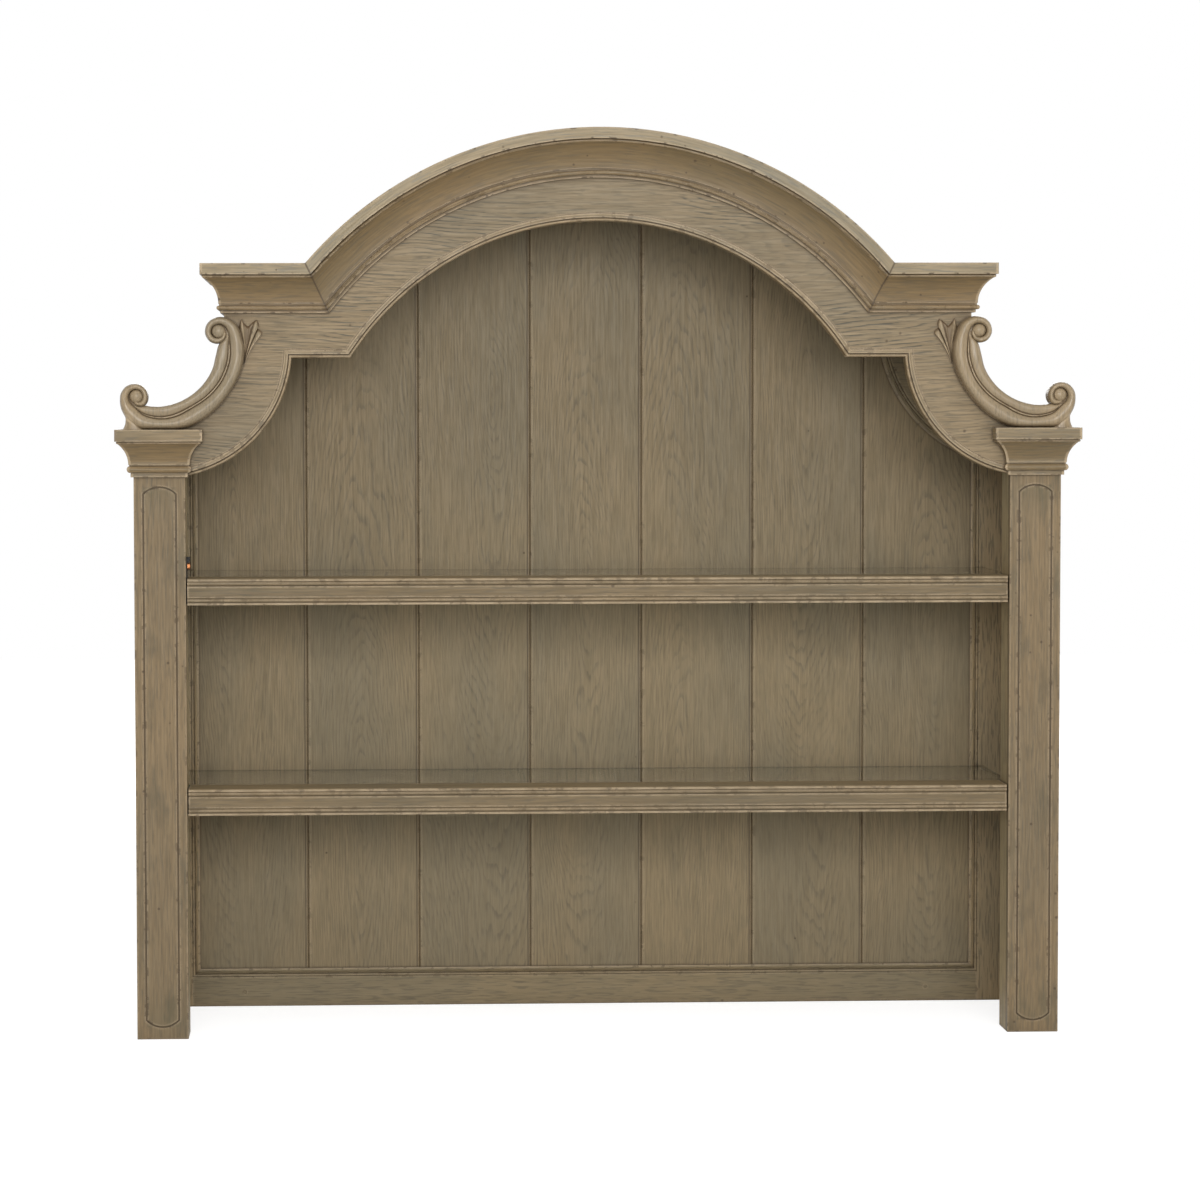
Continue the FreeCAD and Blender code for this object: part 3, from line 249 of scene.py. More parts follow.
def seen_directly(tree):
    """1 on the rays of the camera and of what shines or is clear, and 0 on the rest."""
    path = values(node(tree, "ShaderNodeLightPath"))
    mirrored = worked("MAXIMUM", path["Is Glossy Ray"], path["Is Transmission Ray"])
    return worked("MAXIMUM", path["Is Camera Ray"], mirrored)


def emptied(made):
    """The emptied node tree of a material or a world."""
    made.use_nodes = True
    made.node_tree.nodes.clear()
    return made.node_tree


def principled(made, inputs):
    """A material ended with one Principled shader."""
    shader = node(made.node_tree, "ShaderNodeBsdfPrincipled", inputs)
    node(made.node_tree, "ShaderNodeOutputMaterial", {"Surface": shader.outputs[0]})
    return made


def new_group(name, inputs):
    """A node group that takes a vector and some numbers, each with its usual value, and its inputs."""
    group = bpy.data.node_groups.new(name, "ShaderNodeTree")
    group.interface.new_socket("Vector", in_out="INPUT", socket_type="NodeSocketVector")
    for label, usual in inputs.items():
        socket = group.interface.new_socket(label, in_out="INPUT", socket_type="NodeSocketFloat")
        socket.default_value = usual
    return group, values(group.nodes.new("NodeGroupInput"))


def end_group(group, outputs):
    """A node group that gives out named numbers."""
    for label in outputs:
        group.interface.new_socket(label, in_out="OUTPUT", socket_type="NodeSocketFloat")
    node(group, "NodeGroupOutput", outputs)
    return group


def effect(tree, name, build, inputs):
    """The outputs of a node group that is built the first time it is asked for."""
    group = bpy.data.node_groups.get(name) or build(name)
    return values(node(tree, "ShaderNodeGroup", inputs, node_tree=group))


def build_oak_figure(name):
    """Growth rings, pores and slow drift of tone. The vector runs along the grain in its first number.

    A ring's number is the distance from the tree's heart, the root of the sum of the squares of the way
    across from the core and of a depth that leans slowly along the board, over the gap between rings,
    pushed about by noise. Its fraction gives the dark early wood. Pores are stretched noise cut off at a
    height, and smudges are soft patches of the same kind.
    """
    usual = {"Seed": 0.0, "Ring Gap": 0.006, "Lean": 0.07, "Heart": 0.03, "Core": 0.0}
    group, given = new_group(name, usual)
    along, across, deep = axes(group, given["Vector"])
    seed = given["Seed"]
    shifted = vector_of(group, along + seed * 3.71, across + seed * 1.37, deep + seed * 0.73)

    def streaked(scale, stretch, detail, rough=0.5):
        """Noise that is stretched along the grain."""
        inputs = {0: shifted, 1: (stretch, 1.0, 1.0)}
        drawn = node(group, "ShaderNodeVectorMath", inputs, operation="MULTIPLY").outputs[0]
        return noise(group, drawn, scale, detail, rough)

    broad = streaked(7.0, 0.35, 2.0) - 0.5
    fine = streaked(40.0, 0.16, 2.0) - 0.5
    close = streaked(120.0, 0.12, 1.0) - 0.5
    aside = across - given["Core"] + broad * 0.06
    depth = given["Heart"] + along * given["Lean"] + broad * 0.05
    radius = worked("SQRT", aside * aside + depth * depth)
    turn = worked("FRACT", (radius + (fine * 0.011 + close * 0.0034)) / given["Ring Gap"])
    rings = spread(turn, 0.0, 0.10) * spread(turn, 0.12, 0.50, 1.0, 0.0)
    dashes = spread(streaked(310.0, 0.09, 2.0, 0.6), 0.45, 0.53)
    strength = spread(streaked(12.0, 0.25, 2.0), 0.38, 0.57, 0.14, 1.0)
    return end_group(group, {
        "Rings": rings * (dashes * 0.70 + 0.30) * strength,
        "Pores": spread(streaked(380.0, 0.08, 1.0), 0.55, 0.62),
        "Drift": spread(streaked(5.0, 0.45, 3.0), 0.34, 0.66),
        "Streaks": spread(streaked(330.0, 0.035, 3.0, 0.7), 0.34, 0.66),
        "Smudges": spread(streaked(24.0, 0.40, 4.0, 0.6), 0.48, 0.70),
    })


def build_edge_marks(name):
    """Where the oak is pale on edges, partly worn and partly a painted highlight, where glaze stays in
    creases, and where painted shade darkens hollows.

    The pale of edges comes from the shade inside the surface, which is deepest beside an outer edge, and
    Glazed from the shade outside it, which is deepest in a crease, each broken up by noise. The painted
    shade of hollows is that outside shade over a wider reach, and Nicked the few places on an edge where a
    second noise is highest.
    """
    group, given = new_group(name, {"Wear Reach": 0.003, "Glaze Reach": 0.006, "Hollow Reach": 0.03})

    def shade(reach, inside):
        """How open the surface is within a reach, inside it or outside."""
        inputs = {"Distance": given[reach]}
        return values(node(group, "ShaderNodeAmbientOcclusion", inputs, samples=3, inside=inside))["AO"]

    inner, outer, wide = shade("Wear Reach", True), shade("Glaze Reach", False), shade("Hollow Reach", False)
    patches = spread(noise(group, given["Vector"], 38.0, 4.0, 0.65), 0.35, 0.62)
    chips = spread(noise(group, given["Vector"], 62.0, 3.0, 0.6), 0.57, 0.61)
    kept = 1.0 - (1.0 - patches) * PATCHINESS
    return end_group(group, {
        # Pale edges: wear, and a painted highlight.
        "Rubbed": spread(inner, 0.93, 0.58) * kept,
        "Glazed": spread(outer, 0.90, 0.55) * spread(kept, 0.0, 1.0, 0.6, 1.0),
        # Painted shade in hollows.
        "Hollow": spread(wide, 0.92, 0.30) * (patches * 0.35 + 0.65),
        "Nicked": spread(inner, 0.93, 0.72) * chips,
    })


def build_distress(name):
    """Wormholes and dents. A cell's distance from its point, under a small radius, is a mark, and only a few
    cells, chosen by their own random colour, have one."""
    group, given = new_group(name, {"Share": 0.1})
    cells = values(node(group, "ShaderNodeTexVoronoi", {"Vector": given["Vector"], "Scale": 46.0}))
    picked = values(node(group, "ShaderNodeSeparateColor", {0: cells["Color"]}))
    chosen = worked("LESS_THAN", picked["Red"], given["Share"])
    size = (picked["Green"] * 40.0 + 26.0) * MARK_SIZE
    return end_group(group, {"Marks": spread(cells["Distance"] / size, 0.6, 1.3, 1.0, 0.0) * chosen})


# Finishes ------------------------------------------------------------------------------------------

# Centres that the bent grain turns about, and the radii that its angle is measured at
ARCH_CENTRE, ARCH_RADIUS = 867.0 * MM, 0.56
CURVE_OUT, CURVE_UP, CURVE_RADIUS = 723.6 * MM, 1148.2 * MM, 0.22
# Distance between two back boards, and the way from a board's middle to the thin line beside its joint
BOARD_PITCH = 195.4 * MM
BOARD_LINE = 93.2 * MM
# Least distance from the middle at which the fillets of the crown turn pale, as glaze taken off and as a
# painted highlight
FILLET_FACE = 187.0 * MM
# Two points, out and up, that the mitres of the crown run through
CROWN_MITRE = ((447.12 * MM, 1205.0 * MM), (485.76 * MM, 1286.0 * MM))
# The raised field of a pilaster: its foot and head, its middle line and half its width
FIELD_ENDS = (20.5 * MM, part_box("capital_front_left")[0].z - 16.5 * MM)
FIELD_MIDDLE, FIELD_HALF = 728.0 * MM, 26.8 * MM
# Borders of a glass face that are painted the green of the edge, a painted reflection of the edge seen
# through the face: where each starts and is full, from the edge
GLASS_BACK = (15.0 * MM, 12.0 * MM)
GLASS_END = (6.0 * MM, 4.0 * MM)
PAINTED_EDGE_REFLECTION = 0.85
# How much of the pale edges, with their painted highlight, and of the glazing is patchy, and the size of
# a wormhole
PATCHINESS = 0.5
MARK_SIZE = 0.0021

# What the base colour is multiplied by, channel by channel
DRIFT = ((0.89, 0.93, 0.97), (1.09, 1.07, 1.03))
SMUDGED = (0.54, 0.60, 0.62)
STREAKED = (0.60, 0.60, 0.62)
FIELD_TONE = (0.50, 0.58, 0.60)
# What the tone under them is multiplied by: the pale of flat faces, part glaze taken off and part painted
# highlight; painted light on faces that look up; and painted shade in hollows
UNGLAZED_AND_HIGHLIT = (1.65, 1.99, 2.70)
PAINTED_TOP_LIGHT = (1.42, 1.42, 1.42)
PAINTED_SHADE_TONE = (0.52, 0.48, 0.425)
# What the glaze colour is multiplied by for the glaze and painted shade of a carving
CARVED_GLAZE_AND_SHADE = (1.3, 1.2, 1.1)


def along_grain(tree, x, y, z, run):
    """Object coordinates turned so that their first number runs along the grain.

    up, across and deep swap the three numbers. arch takes the angle about the arch's centre times its
    radius, and then the radius, so that the grain follows the bend. curve does so about the centre of the
    lower curve of each side.
    """
    orders = {"up": (z, x, y), "across": (x, z, y), "deep": (y, z, x)}
    if run in orders:
        return vector_of(tree, *orders[run])
    if run == "arch":
        out, rise, radius = x, z - ARCH_CENTRE, ARCH_RADIUS
    else:
        out, rise, radius = abs(x) - CURVE_OUT, z - CURVE_UP, CURVE_RADIUS
    far = worked("SQRT", out * out + rise * rise)
    return vector_of(tree, worked("ARCTAN2", out, rise) * radius, far, y)


def board_grain(tree, x, turned, seed):
    """A figure of its own for each back board.

    A board's number, counted from the middle one, moves the heart of its tree along and aside by two
    sines, and its seed. Also gives the way across from the middle of the board.
    """
    board = worked("ROUND", x / BOARD_PITCH)
    centred = x - board * BOARD_PITCH
    along, _, deep = axes(tree, turned)
    aside = worked("SINE", board * 7.9) * 0.030
    tip = worked("SINE", board * 4.1) * 0.42 + 0.72
    return vector_of(tree, along - tip, centred + aside, deep), board * 2.37 + seed, centred


def mitre_distance(x, z):
    """How far a point is from the mitres of the crown, which run straight up between two points a side."""
    (foot_out, foot_up), (top_out, top_up) = CROWN_MITRE
    run = math.hypot(top_out - foot_out, top_up - foot_up)
    out, up = (top_up - foot_up) / run, (foot_out - top_out) / run
    return abs(z * up + (abs(x) * out + -(foot_out * out + foot_up * up)))


def flat_faces(tree, y, share, past):
    """A share on flat faces that look forwards or sideways, and only past a distance from the middle."""
    out, forwards, _ = surface_normal(tree)
    held = spread(worked("MAXIMUM", abs(out), abs(forwards)), 0.990, 0.9996) * share
    return held * spread(abs(y), past - 0.001, past + 0.001) if past else held


def field_ends(x, z, smudges):
    """Shares that darken the foot and head of the pilaster fields, fading towards the middle and broken up by
    the smudge noise.
    """
    low, high = FIELD_ENDS
    inside = worked("MINIMUM", z - low, high - z)
    held = spread(inside, 0.004, 0.065, 0.85, 0.0) * worked("GREATER_THAN", inside, 0.0)
    held = held * worked("LESS_THAN", abs(abs(x) - FIELD_MIDDLE), FIELD_HALF)
    return held * (smudges * 0.55 + 0.45)


def oak(name, base, run, figure=0.5, pores=0.5, lean=0.07, heart=0.03, core=0.0, ring_scale=1.0, seed=0.0,
        smudges=0.3, streaks=0.30, unglazed_and_highlit=0.0, past=0.0, field=False, painted_top_light=0.0, hollow=0.45, wear=0.8,
        glaze=0.8, fine=1.0, nicks=0.5, mitred=False, boards=False, carved=0.0, marks=0.06, sheen=0.0):
    """Weathered oak.

    The base colour drifts, and the rest is laid over it in turn, each by a share: smudges, streaks, pores
    and the rings of the figure, which follow the run of the grain, the lean, heart and core of the tree in
    metres and the ring scale. One share pales flat faces past a distance from the middle, as glaze taken
    off them and as a painted highlight; field darkens the ends of a pilaster's field; another share paints
    light on faces that look up; and another paints shade in hollows. A share pales edges, as wear and as a
    painted highlight, glaze darkens creases and nicks darken spots on edges, and fine scales the reach of
    the pale edges and the glaze. Mitred draws the crown's mitres, boards gives each back board a figure
    and a thin line of its own, carved is for the glaze and painted shade in a carving, and marks is the
    share of cells with a wormhole. Sheen is taken off the roughness.
    """
    sizes = bpy.context.scene.hutch_oak
    made = bpy.data.materials.new(name)
    tree = emptied(made)
    place = object_place(tree)
    x, y, z = axes(tree, place)
    turned = along_grain(tree, x, y, z, run)
    if boards:
        turned, seed, centred = board_grain(tree, x, turned, seed)
    grain = effect(tree, "Oak Figure", build_oak_figure, {
        "Vector": turned, "Seed": seed, "Ring Gap": sizes.ring_gap * ring_scale, "Lean": lean, "Heart": heart,
        "Core": core,
    })
    edges = effect(tree, "Edge Marks", build_edge_marks, {
        "Vector": place, "Wear Reach": sizes.wear_reach * fine, "Glaze Reach": sizes.glaze_reach * fine,
        "Hollow Reach": sizes.hollow_reach,
    })
    worm = effect(tree, "Distress", build_distress, {"Vector": place, "Share": marks})["Marks"]
    tone = blend(tree, grain["Drift"], full(base, DRIFT[0]), full(base, DRIFT[1]))

    def lay(share, over):
        """Lay a colour over the tone."""
        nonlocal tone
        tone = blend(tree, share, tone, over)

    def times(by):
        """The tone with each channel times a number."""
        return blend(tree, 1.0, tone, full(by), "MULTIPLY")

    lay(grain["Smudges"] * smudges, full(base, SMUDGED))
    lay(grain["Streaks"] * streaks, full(base, STREAKED))
    lay(grain["Pores"] * pores, full(sizes.grain))
    lay(grain["Rings"] * figure, full(sizes.grain))
    # Pale flat faces: glaze taken off, and a painted highlight.
    if unglazed_and_highlit:
        lay(flat_faces(tree, y, unglazed_and_highlit, past), times(UNGLAZED_AND_HIGHLIT))
    if field:
        lay(field_ends(x, z, grain["Smudges"]), full(base, FIELD_TONE))
    # Painted light on faces that look up.
    if painted_top_light:
        lay(spread(surface_normal(tree)[2], 0.80, 0.95, 0.0, painted_top_light), times(PAINTED_TOP_LIGHT))
    # Painted shade in hollows.
    lay(edges["Hollow"] * hollow, times(PAINTED_SHADE_TONE))
    # Pale edges: wear, and a painted highlight.
    rubbed = edges["Rubbed"] * wear
    if mitred:
        off = mitre_distance(x, z)
        rubbed = rubbed * spread(off, 0.003, 0.008)
    lay(rubbed, full(sizes.rubbed))
    lay(edges["Glazed"] * glaze, full(sizes.glaze))
    lay(edges["Nicked"] * nicks, full(sizes.glaze))
    if mitred:
        lay(spread(off, 0.0004, 0.0022, 0.85, 0.0), full(sizes.glaze))
    if boards:
        lay(spread(abs(centred - BOARD_LINE), 0.0004, 0.0022, 0.72, 0.0), full(sizes.glaze))
    # Glaze and painted shade that a carving carries in its glaze attribute.
    if carved:
        carved_glaze_and_shade = values(node(tree, "ShaderNodeAttribute", attribute_name="glaze"))["Fac"]
        lay(carved_glaze_and_shade * carved, full(sizes.glaze, CARVED_GLAZE_AND_SHADE))
    lay(worm * 0.8, full(sizes.glaze))

    sunk = grain["Pores"] * (0.35 * pores) + grain["Rings"] * (0.25 * figure)
    sunk = sunk + grain["Streaks"] * (0.2 * streaks)
    eased = node(tree, "ShaderNodeBevel", {"Radius": sizes.softness}, samples=3).outputs[0]
    relief = {"Strength": 0.55, "Distance": 0.0006, "Height": 1.0 - (sunk + worm), "Normal": eased}
    wax = sizes.roughness - sheen
    return principled(made, {
        "Base Color": tone, "Roughness": spread(grain["Streaks"], 0.0, 1.0, wax - 0.05, wax + 0.09),
        "Normal": node(tree, "ShaderNodeBump", relief).outputs[0], "Specular IOR Level": 0.32,
    })


def metal(name, tint, roughness, scratch):
    """Metal with fine scratches: fine noise moves its roughness and bumps its surface, broad noise its tone."""
    made = bpy.data.materials.new(name)
    tree = emptied(made)
    place = object_place(tree)
    fine = noise(tree, place, 900.0, 3.0)
    patch = spread(noise(tree, place, 120.0, 2.0), 0.35, 0.7)
    bump = node(tree, "ShaderNodeBump", {"Strength": scratch, "Distance": 0.0002, "Height": fine})
    return principled(made, {
        "Base Color": blend(tree, patch, full(tint, (0.78, 0.78, 0.78)), full(tint)), "Metallic": 1.0,
        "Normal": bump.outputs[0], "Roughness": spread(fine, 0.3, 0.7, roughness * 0.8, roughness * 1.25),
    })


def shelf_glass():
    """Clear float glass: the faces are nearly clear and the ground edges are green, and the border of each
    face at the back and the ends is painted that green, a painted reflection of the edge seen through the face."""
    sizes = bpy.context.scene.hutch_hardware
    green = full(sizes.glass_edge)
    made = bpy.data.materials.new("shelf_glass_clear")
    tree = emptied(made)
    place = object_place(tree)
    x, y, _ = axes(tree, place)
    upright = abs(surface_normal(tree)[2])
    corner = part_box("shelf_glass_upper")[1]
    # Painted reflection of the green edge in the border of each face.
    back = spread(y, *[corner.y - inset for inset in GLASS_BACK], 0.0, PAINTED_EDGE_REFLECTION)
    ends = spread(abs(x), *[corner.x - inset for inset in GLASS_END], 0.0, PAINTED_EDGE_REFLECTION)
    tint = blend(tree, spread(upright, 0.3, 0.8), green, full(sizes.glass))
    smear = spread(noise(tree, place, 14.0, 3.0), 0.3, 0.8, 0.0, 0.03)
    return principled(made, {
        "Base Color": blend(tree, worked("MAXIMUM", back, ends), tint, green), "Transmission Weight": 1.0,
        "IOR": 1.5, "Roughness": worked("MAXIMUM", smear, spread(upright, 0.3, 0.8, 0.85, 0.0)),
    })


def both(*stems):
    """The left and right node of each stem."""
    return [f"{stem}_{side}" for stem in stems for side in ("left", "right")]


def give(names, material):
    """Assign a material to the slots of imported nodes."""
    for name in names:
        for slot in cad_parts[name].material_slots:
            slot.link = "OBJECT"
            slot.material = material


def dress(rows):
    """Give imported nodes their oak. A row is the nodes, the oak's name, its colour and run, and its looks."""
    for nodes, name, tint, run, looks in rows:
        give(nodes, oak(name, getattr(bpy.context.scene.hutch_oak, tint), run, **looks))


CASE_OAK = (
    (both("pilaster"), "case_oak_up", "case", "up", dict(
        figure=0.40, pores=0.30, lean=0.03, heart=0.05, wear=0.45, marks=0.3, streaks=0.5, nicks=0.7,
        smudges=0.75, field=True)),
    (both("side_panel"), "side_oak_up", "case", "up", dict(
        figure=0.50, pores=0.20, lean=0.04, heart=0.05, wear=0.4, streaks=0.5, smudges=0.2)),
    # Lighter oak on the posts: painted light.
    (both("post"), "inner_oak_up", "posts", "up", dict(figure=0.35, pores=0.30, lean=0.03, heart=0.05)),
    (["frieze_board"], "frieze_oak", "frieze", "across", dict(
        figure=1.0, pores=0.34, lean=0.13, heart=0.035, marks=0.05, ring_scale=0.95, streaks=0.5, core=1.30,
        seed=2.0)),
    (["shelf_rail_upper", "shelf_rail_lower"], "rail_oak", "rails", "across", dict(
        figure=0.35, pores=0.3, lean=0.02, heart=0.06, wear=0.9, glaze=0.22, painted_top_light=0.9, streaks=0.45,
        hollow=0.05)),
    (both("roof_side", "roof_shoulder"), "roof_oak", "case", "deep", dict(
        figure=0.3, lean=0.05, heart=0.04, wear=0.25, sheen=-0.14)),
    (["roof_arch"], "roof_arch_oak", "case", "arch", dict(
        figure=0.3, lean=0.03, heart=0.05, wear=0.25, sheen=-0.14)),
)

CROWN = dict(figure=0.3, pores=0.34, marks=0.65, glaze=0.85, fine=0.85, hollow=0.42, unglazed_and_highlit=0.7, sheen=0.06,
             nicks=0.9, streaks=0.45, mitred=True)
SMALL = dict(CROWN, unglazed_and_highlit=0.28, nicks=0.6, mitred=False, marks=0.35)
MOULDING_OAK = (
    (both("crown_shoulder"), "crown_oak_level", "moulded", "across", dict(
        CROWN, lean=0.03, heart=0.05, past=FILLET_FACE)),
    (both("crown_return"), "crown_oak_deep", "moulded", "deep", dict(CROWN, lean=0.03, heart=0.05)),
    (["crown_arch"], "crown_oak_arch", "moulded", "arch", dict(CROWN, lean=0.02, heart=0.05, past=FILLET_FACE)),
    (both("capital_front", "opening_bead_shoulder"), "capital_oak_level", "moulded", "across", SMALL),
    (both("capital_inner", "capital_outer"), "capital_oak_deep", "moulded", "deep", SMALL),
    (["opening_bead_arch"], "bead_oak_arch", "moulded", "arch", dict(SMALL, lean=0.02, heart=0.05)),
    (both("opening_bead_curve"), "bead_oak_curve", "moulded", "curve", dict(SMALL, lean=0.02, heart=0.05)),
)

BACK_OAK = (
    ([f"back_board_{number}" for number in range(1, 8)], "board_oak", "boards", "up", dict(
        figure=0.42, pores=0.16, lean=0.12, heart=0.0, boards=True, wear=0.5, marks=0.02, ring_scale=0.72,
        streaks=0.45, smudges=0.2)),
    # Lighter oak on the stiles: painted light.
    (both("back_stile", "back_moulding_side"), "back_oak_up", "stiles", "up", dict(
        figure=0.25, lean=0.04, heart=0.05, wear=0.3)),
    (["back_bottom_rail", "back_top_rail", "back_moulding_bottom", *both("back_moulding_shoulder")],
     "back_oak_level", "boards", "across", dict(
        figure=0.30, pores=0.4, lean=0.04, heart=0.05, wear=0.4, smudges=0.15)),
    (["back_moulding_arch"], "back_oak_arch", "boards", "arch", dict(
        figure=0.2, lean=0.02, heart=0.05, wear=0.25)),
    (both("back_moulding_curve"), "back_oak_curve", "boards", "curve", dict(
        figure=0.2, lean=0.02, heart=0.05, wear=0.25)),
)


# Surfaces ------------------------------------------------------------------------------------------


def smooth_rows(table, steps):
    """Rows read along a smooth curve through the rows of a table.

    Between two rows each column follows a cubic whose slope at a row is half the step between that
    row's neighbours.
    """
    rows = np.asarray(table, float)
    padded = np.vstack([2 * rows[0] - rows[1], rows, 2 * rows[-1] - rows[-2]])
    at = np.linspace(0, len(rows) - 1, steps)
    first = np.minimum(at.astype(int), len(rows) - 2)
    t = (at - first)[:, None]
    a, b, c, d = (padded[first + k] for k in range(4))
    return 0.5 * (2 * b + (c - a) * t + (2 * a - 5 * b + 4 * c - d) * t**2 + (3 * b - a - 3 * c + d) * t**3)


def mesh_from_grid(name, points, sharp=38.0, glaze=None):
    """A closed mesh from a grid of points whose rows are closed rings. Each end ring is closed by a fan.

    The share of glaze, and of painted shade, at each point goes into an attribute that the finish reads.
    """
    rows, ring, _ = points.shape
    corners = np.vstack([points.reshape(-1, 3), points[0].mean(0), points[-1].mean(0)])
    start = np.arange(rows - 1)[:, None] * ring + np.arange(ring)[None, :]
    turn = np.arange(rows - 1)[:, None] * ring + (np.arange(ring)[None, :] + 1) % ring
    quads = np.stack([start, turn, turn + ring, start + ring], -1).reshape(-1, 4)
    edge = np.arange(ring)
    after = (edge + 1) % ring
    last = (rows - 1) * ring
    near = np.stack([np.full(ring, rows * ring), after, edge], -1)
    far = np.stack([np.full(ring, rows * ring + 1), last + edge, last + after], -1)
    mesh = bpy.data.meshes.new(name)
    mesh.from_pydata(corners.tolist(), [], quads.tolist() + near.tolist() + far.tolist())
    kept = np.zeros(len(corners))
    if glaze is not None:
        kept[:rows * ring] = np.broadcast_to(glaze, (rows, ring)).ravel()
    mesh.attributes.new("glaze", "FLOAT", "POINT").data.foreach_set("value", kept)
    tidy = bmesh.new()
    tidy.from_mesh(mesh)
    bmesh.ops.remove_doubles(tidy, verts=tidy.verts, dist=1e-6)
    bmesh.ops.recalc_face_normals(tidy, faces=tidy.faces)
    tidy.to_mesh(mesh)
    tidy.free()
    mesh.polygons.foreach_set("use_smooth", [True] * len(mesh.polygons))
    mesh.set_sharp_from_angle(angle=math.radians(sharp))
    return mesh


def one_piece(name, meshes, material, body, nodes):
    """One object from several closed meshes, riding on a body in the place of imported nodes."""
    joined = bmesh.new()
    for mesh in meshes:
        joined.from_mesh(mesh)
    mesh = bpy.data.meshes.new(name)
    joined.to_mesh(mesh)
    joined.free()
    mesh.materials.append(material)
    piece = bpy.data.objects.new(name, mesh)
    bpy.context.scene.collection.objects.link(piece)
    if nodes:
        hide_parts(*nodes)
    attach(piece, body)
    for spare in meshes:
        bpy.data.meshes.remove(spare)
    return piece


# Plane of the frieze's front, which the carvings stand on
FRIEZE_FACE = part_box("leaf_left")[1].y

# The fixing holes of the bottom rail: how far out and up they are, their radius, and how far behind the
# rail's face their oak caps lie
FIXING_OUT = 600.0 * MM
FIXING_UP = 25.0 * MM
FIXING_RADIUS = 3.0 * MM
FIXING_DEPTH = 0.4 * MM

# The eyes of the left scroll, in mm across and up, and the radii of the floors round them
UPPER_EYE, UPPER_FLOOR = (-628.9, 1174.9), 17.5 * MM
LOWER_EYE, LOWER_FLOOR = (-764.0, 1068.5), 18.4 * MM
# How high the boss of an eye swells, and how high its neck stands off the floor
DOME_RISE = 9.2 * MM
NECK_RISE = 1.2 * MM
# The bead beside a scroll's crease: its height, and its share of the inner band. A band narrower than
# the width given here is lower.
BEAD_RISE = 3.0 * MM
BEAD_SHARE = 0.17
BAND_WIDTH = 14.0 * MM


def about(eye, turns):
    """Rows of points about an eye, from angles in degrees and the radii of outer and inner edge in mm."""
    rows = []
    for angle, outer, inner, ridge, crease in turns:
        across, up = math.cos(math.radians(angle)), math.sin(math.radians(angle))
        near = (eye[0] + inner * across, eye[1] + inner * up)
        rows.append((eye[0] + outer * across, eye[1] + outer * up, *near, *near, ridge, crease, crease))
    return rows


# One row for each place along the left scroll, from the inner end of its upper spiral to that of its
# lower one: outer edge, crease and inner edge, each in mm across and up, and the heights of ridge,
# crease and band as shares of their sizes
SCROLL_ROWS = (
    about(UPPER_EYE, [
        (400, 8.6, 4.4, 0.82, 0.97), (370, 11.2, 5.8, 0.85, 0.97), (335, 14.6, 7.6, 0.88, 0.96),
        (300, 18.0, 9.2, 0.92, 0.95), (265, 20.6, 10.4, 0.95, 0.95), (230, 22.0, 11.2, 0.98, 0.95),
        (195, 22.3, 11.4, 1.0, 0.95), (160, 22.3, 11.0, 1.0, 0.95), (125, 22.7, 10.8, 1.0, 0.95),
        (92, 23.4, 11.0, 1.0, 0.95), (62, 25.6, 11.8, 1.0, 0.95), (34, 29.2, 12.8, 1.0, 0.95),
        (10, 33.6, 14.2, 1.0, 0.96),
    ])
    + [
        (-588.6, 1158.0, -611.2, 1166.5, -616.0, 1166.0, 1.0, 0.94, 0.94),
        (-586.6, 1146.0, -609.4, 1148.5, -628.0, 1153.5, 1.0, 1.0, 0.94),
        (-587.2, 1131.5, -609.6, 1131.5, -633.2, 1135.5, 1.0, 1.0, 1.0),
        (-591.0, 1113.5, -614.3, 1112.8, -638.4, 1114.6, 1.0, 1.0, 1.0),
        (-598.6, 1094.6, -621.8, 1095.8, -647.6, 1097.0, 1.0, 1.0, 1.0),
        (-609.2, 1076.6, -631.8, 1081.4, -661.2, 1080.6, 1.0, 1.0, 1.0),
        (-622.6, 1058.6, -644.6, 1068.0, -676.8, 1068.2, 1.0, 1.0, 1.0),
        (-638.6, 1042.4, -659.6, 1056.8, -693.2, 1059.4, 1.0, 1.0, 1.0),
        (-657.0, 1028.6, -675.1, 1047.4, -708.6, 1054.4, 1.0, 1.0, 1.0),
        (-677.0, 1018.2, -691.0, 1038.6, -721.6, 1051.9, 1.0, 1.0, 1.0),
        (-698.0, 1013.8, -706.6, 1033.2, -732.4, 1051.4, 1.0, 1.0, 1.0),
        (-719.0, 1013.5, -723.4, 1031.2, -741.2, 1052.0, 1.0, 1.0, 0.97),
        (-741.0, 1013.5, -740.6, 1033.6, -750.4, 1053.2, 1.0, 0.97, 0.96),
        (-760.4, 1014.6, -755.0, 1039.6, -757.8, 1052.6, 1.0, 0.96, 0.96),
    ]
    + about(LOWER_EYE, [
        (252, 44.0, 16.4, 1.0, 0.95), (236, 37.0, 15.2, 1.0, 0.95), (218, 32.4, 14.2, 1.0, 0.95),
        (196, 28.4, 13.4, 1.0, 0.95), (170, 26.2, 12.2, 1.0, 0.95), (140, 23.8, 11.4, 1.0, 0.95),
        (108, 21.9, 10.8, 1.0, 0.95), (75, 20.6, 10.4, 0.99, 0.95), (40, 19.6, 10.0, 0.98, 0.95),
        (5, 19.2, 9.9, 0.96, 0.95), (-27, 20.0, 10.0, 0.95, 0.95), (-54, 20.2, 9.6, 0.93, 0.96),
        (-82, 16.6, 8.2, 0.90, 0.97), (-112, 12.0, 6.2, 0.87, 0.98), (-142, 9.0, 4.6, 0.84, 0.98),
    ])
)

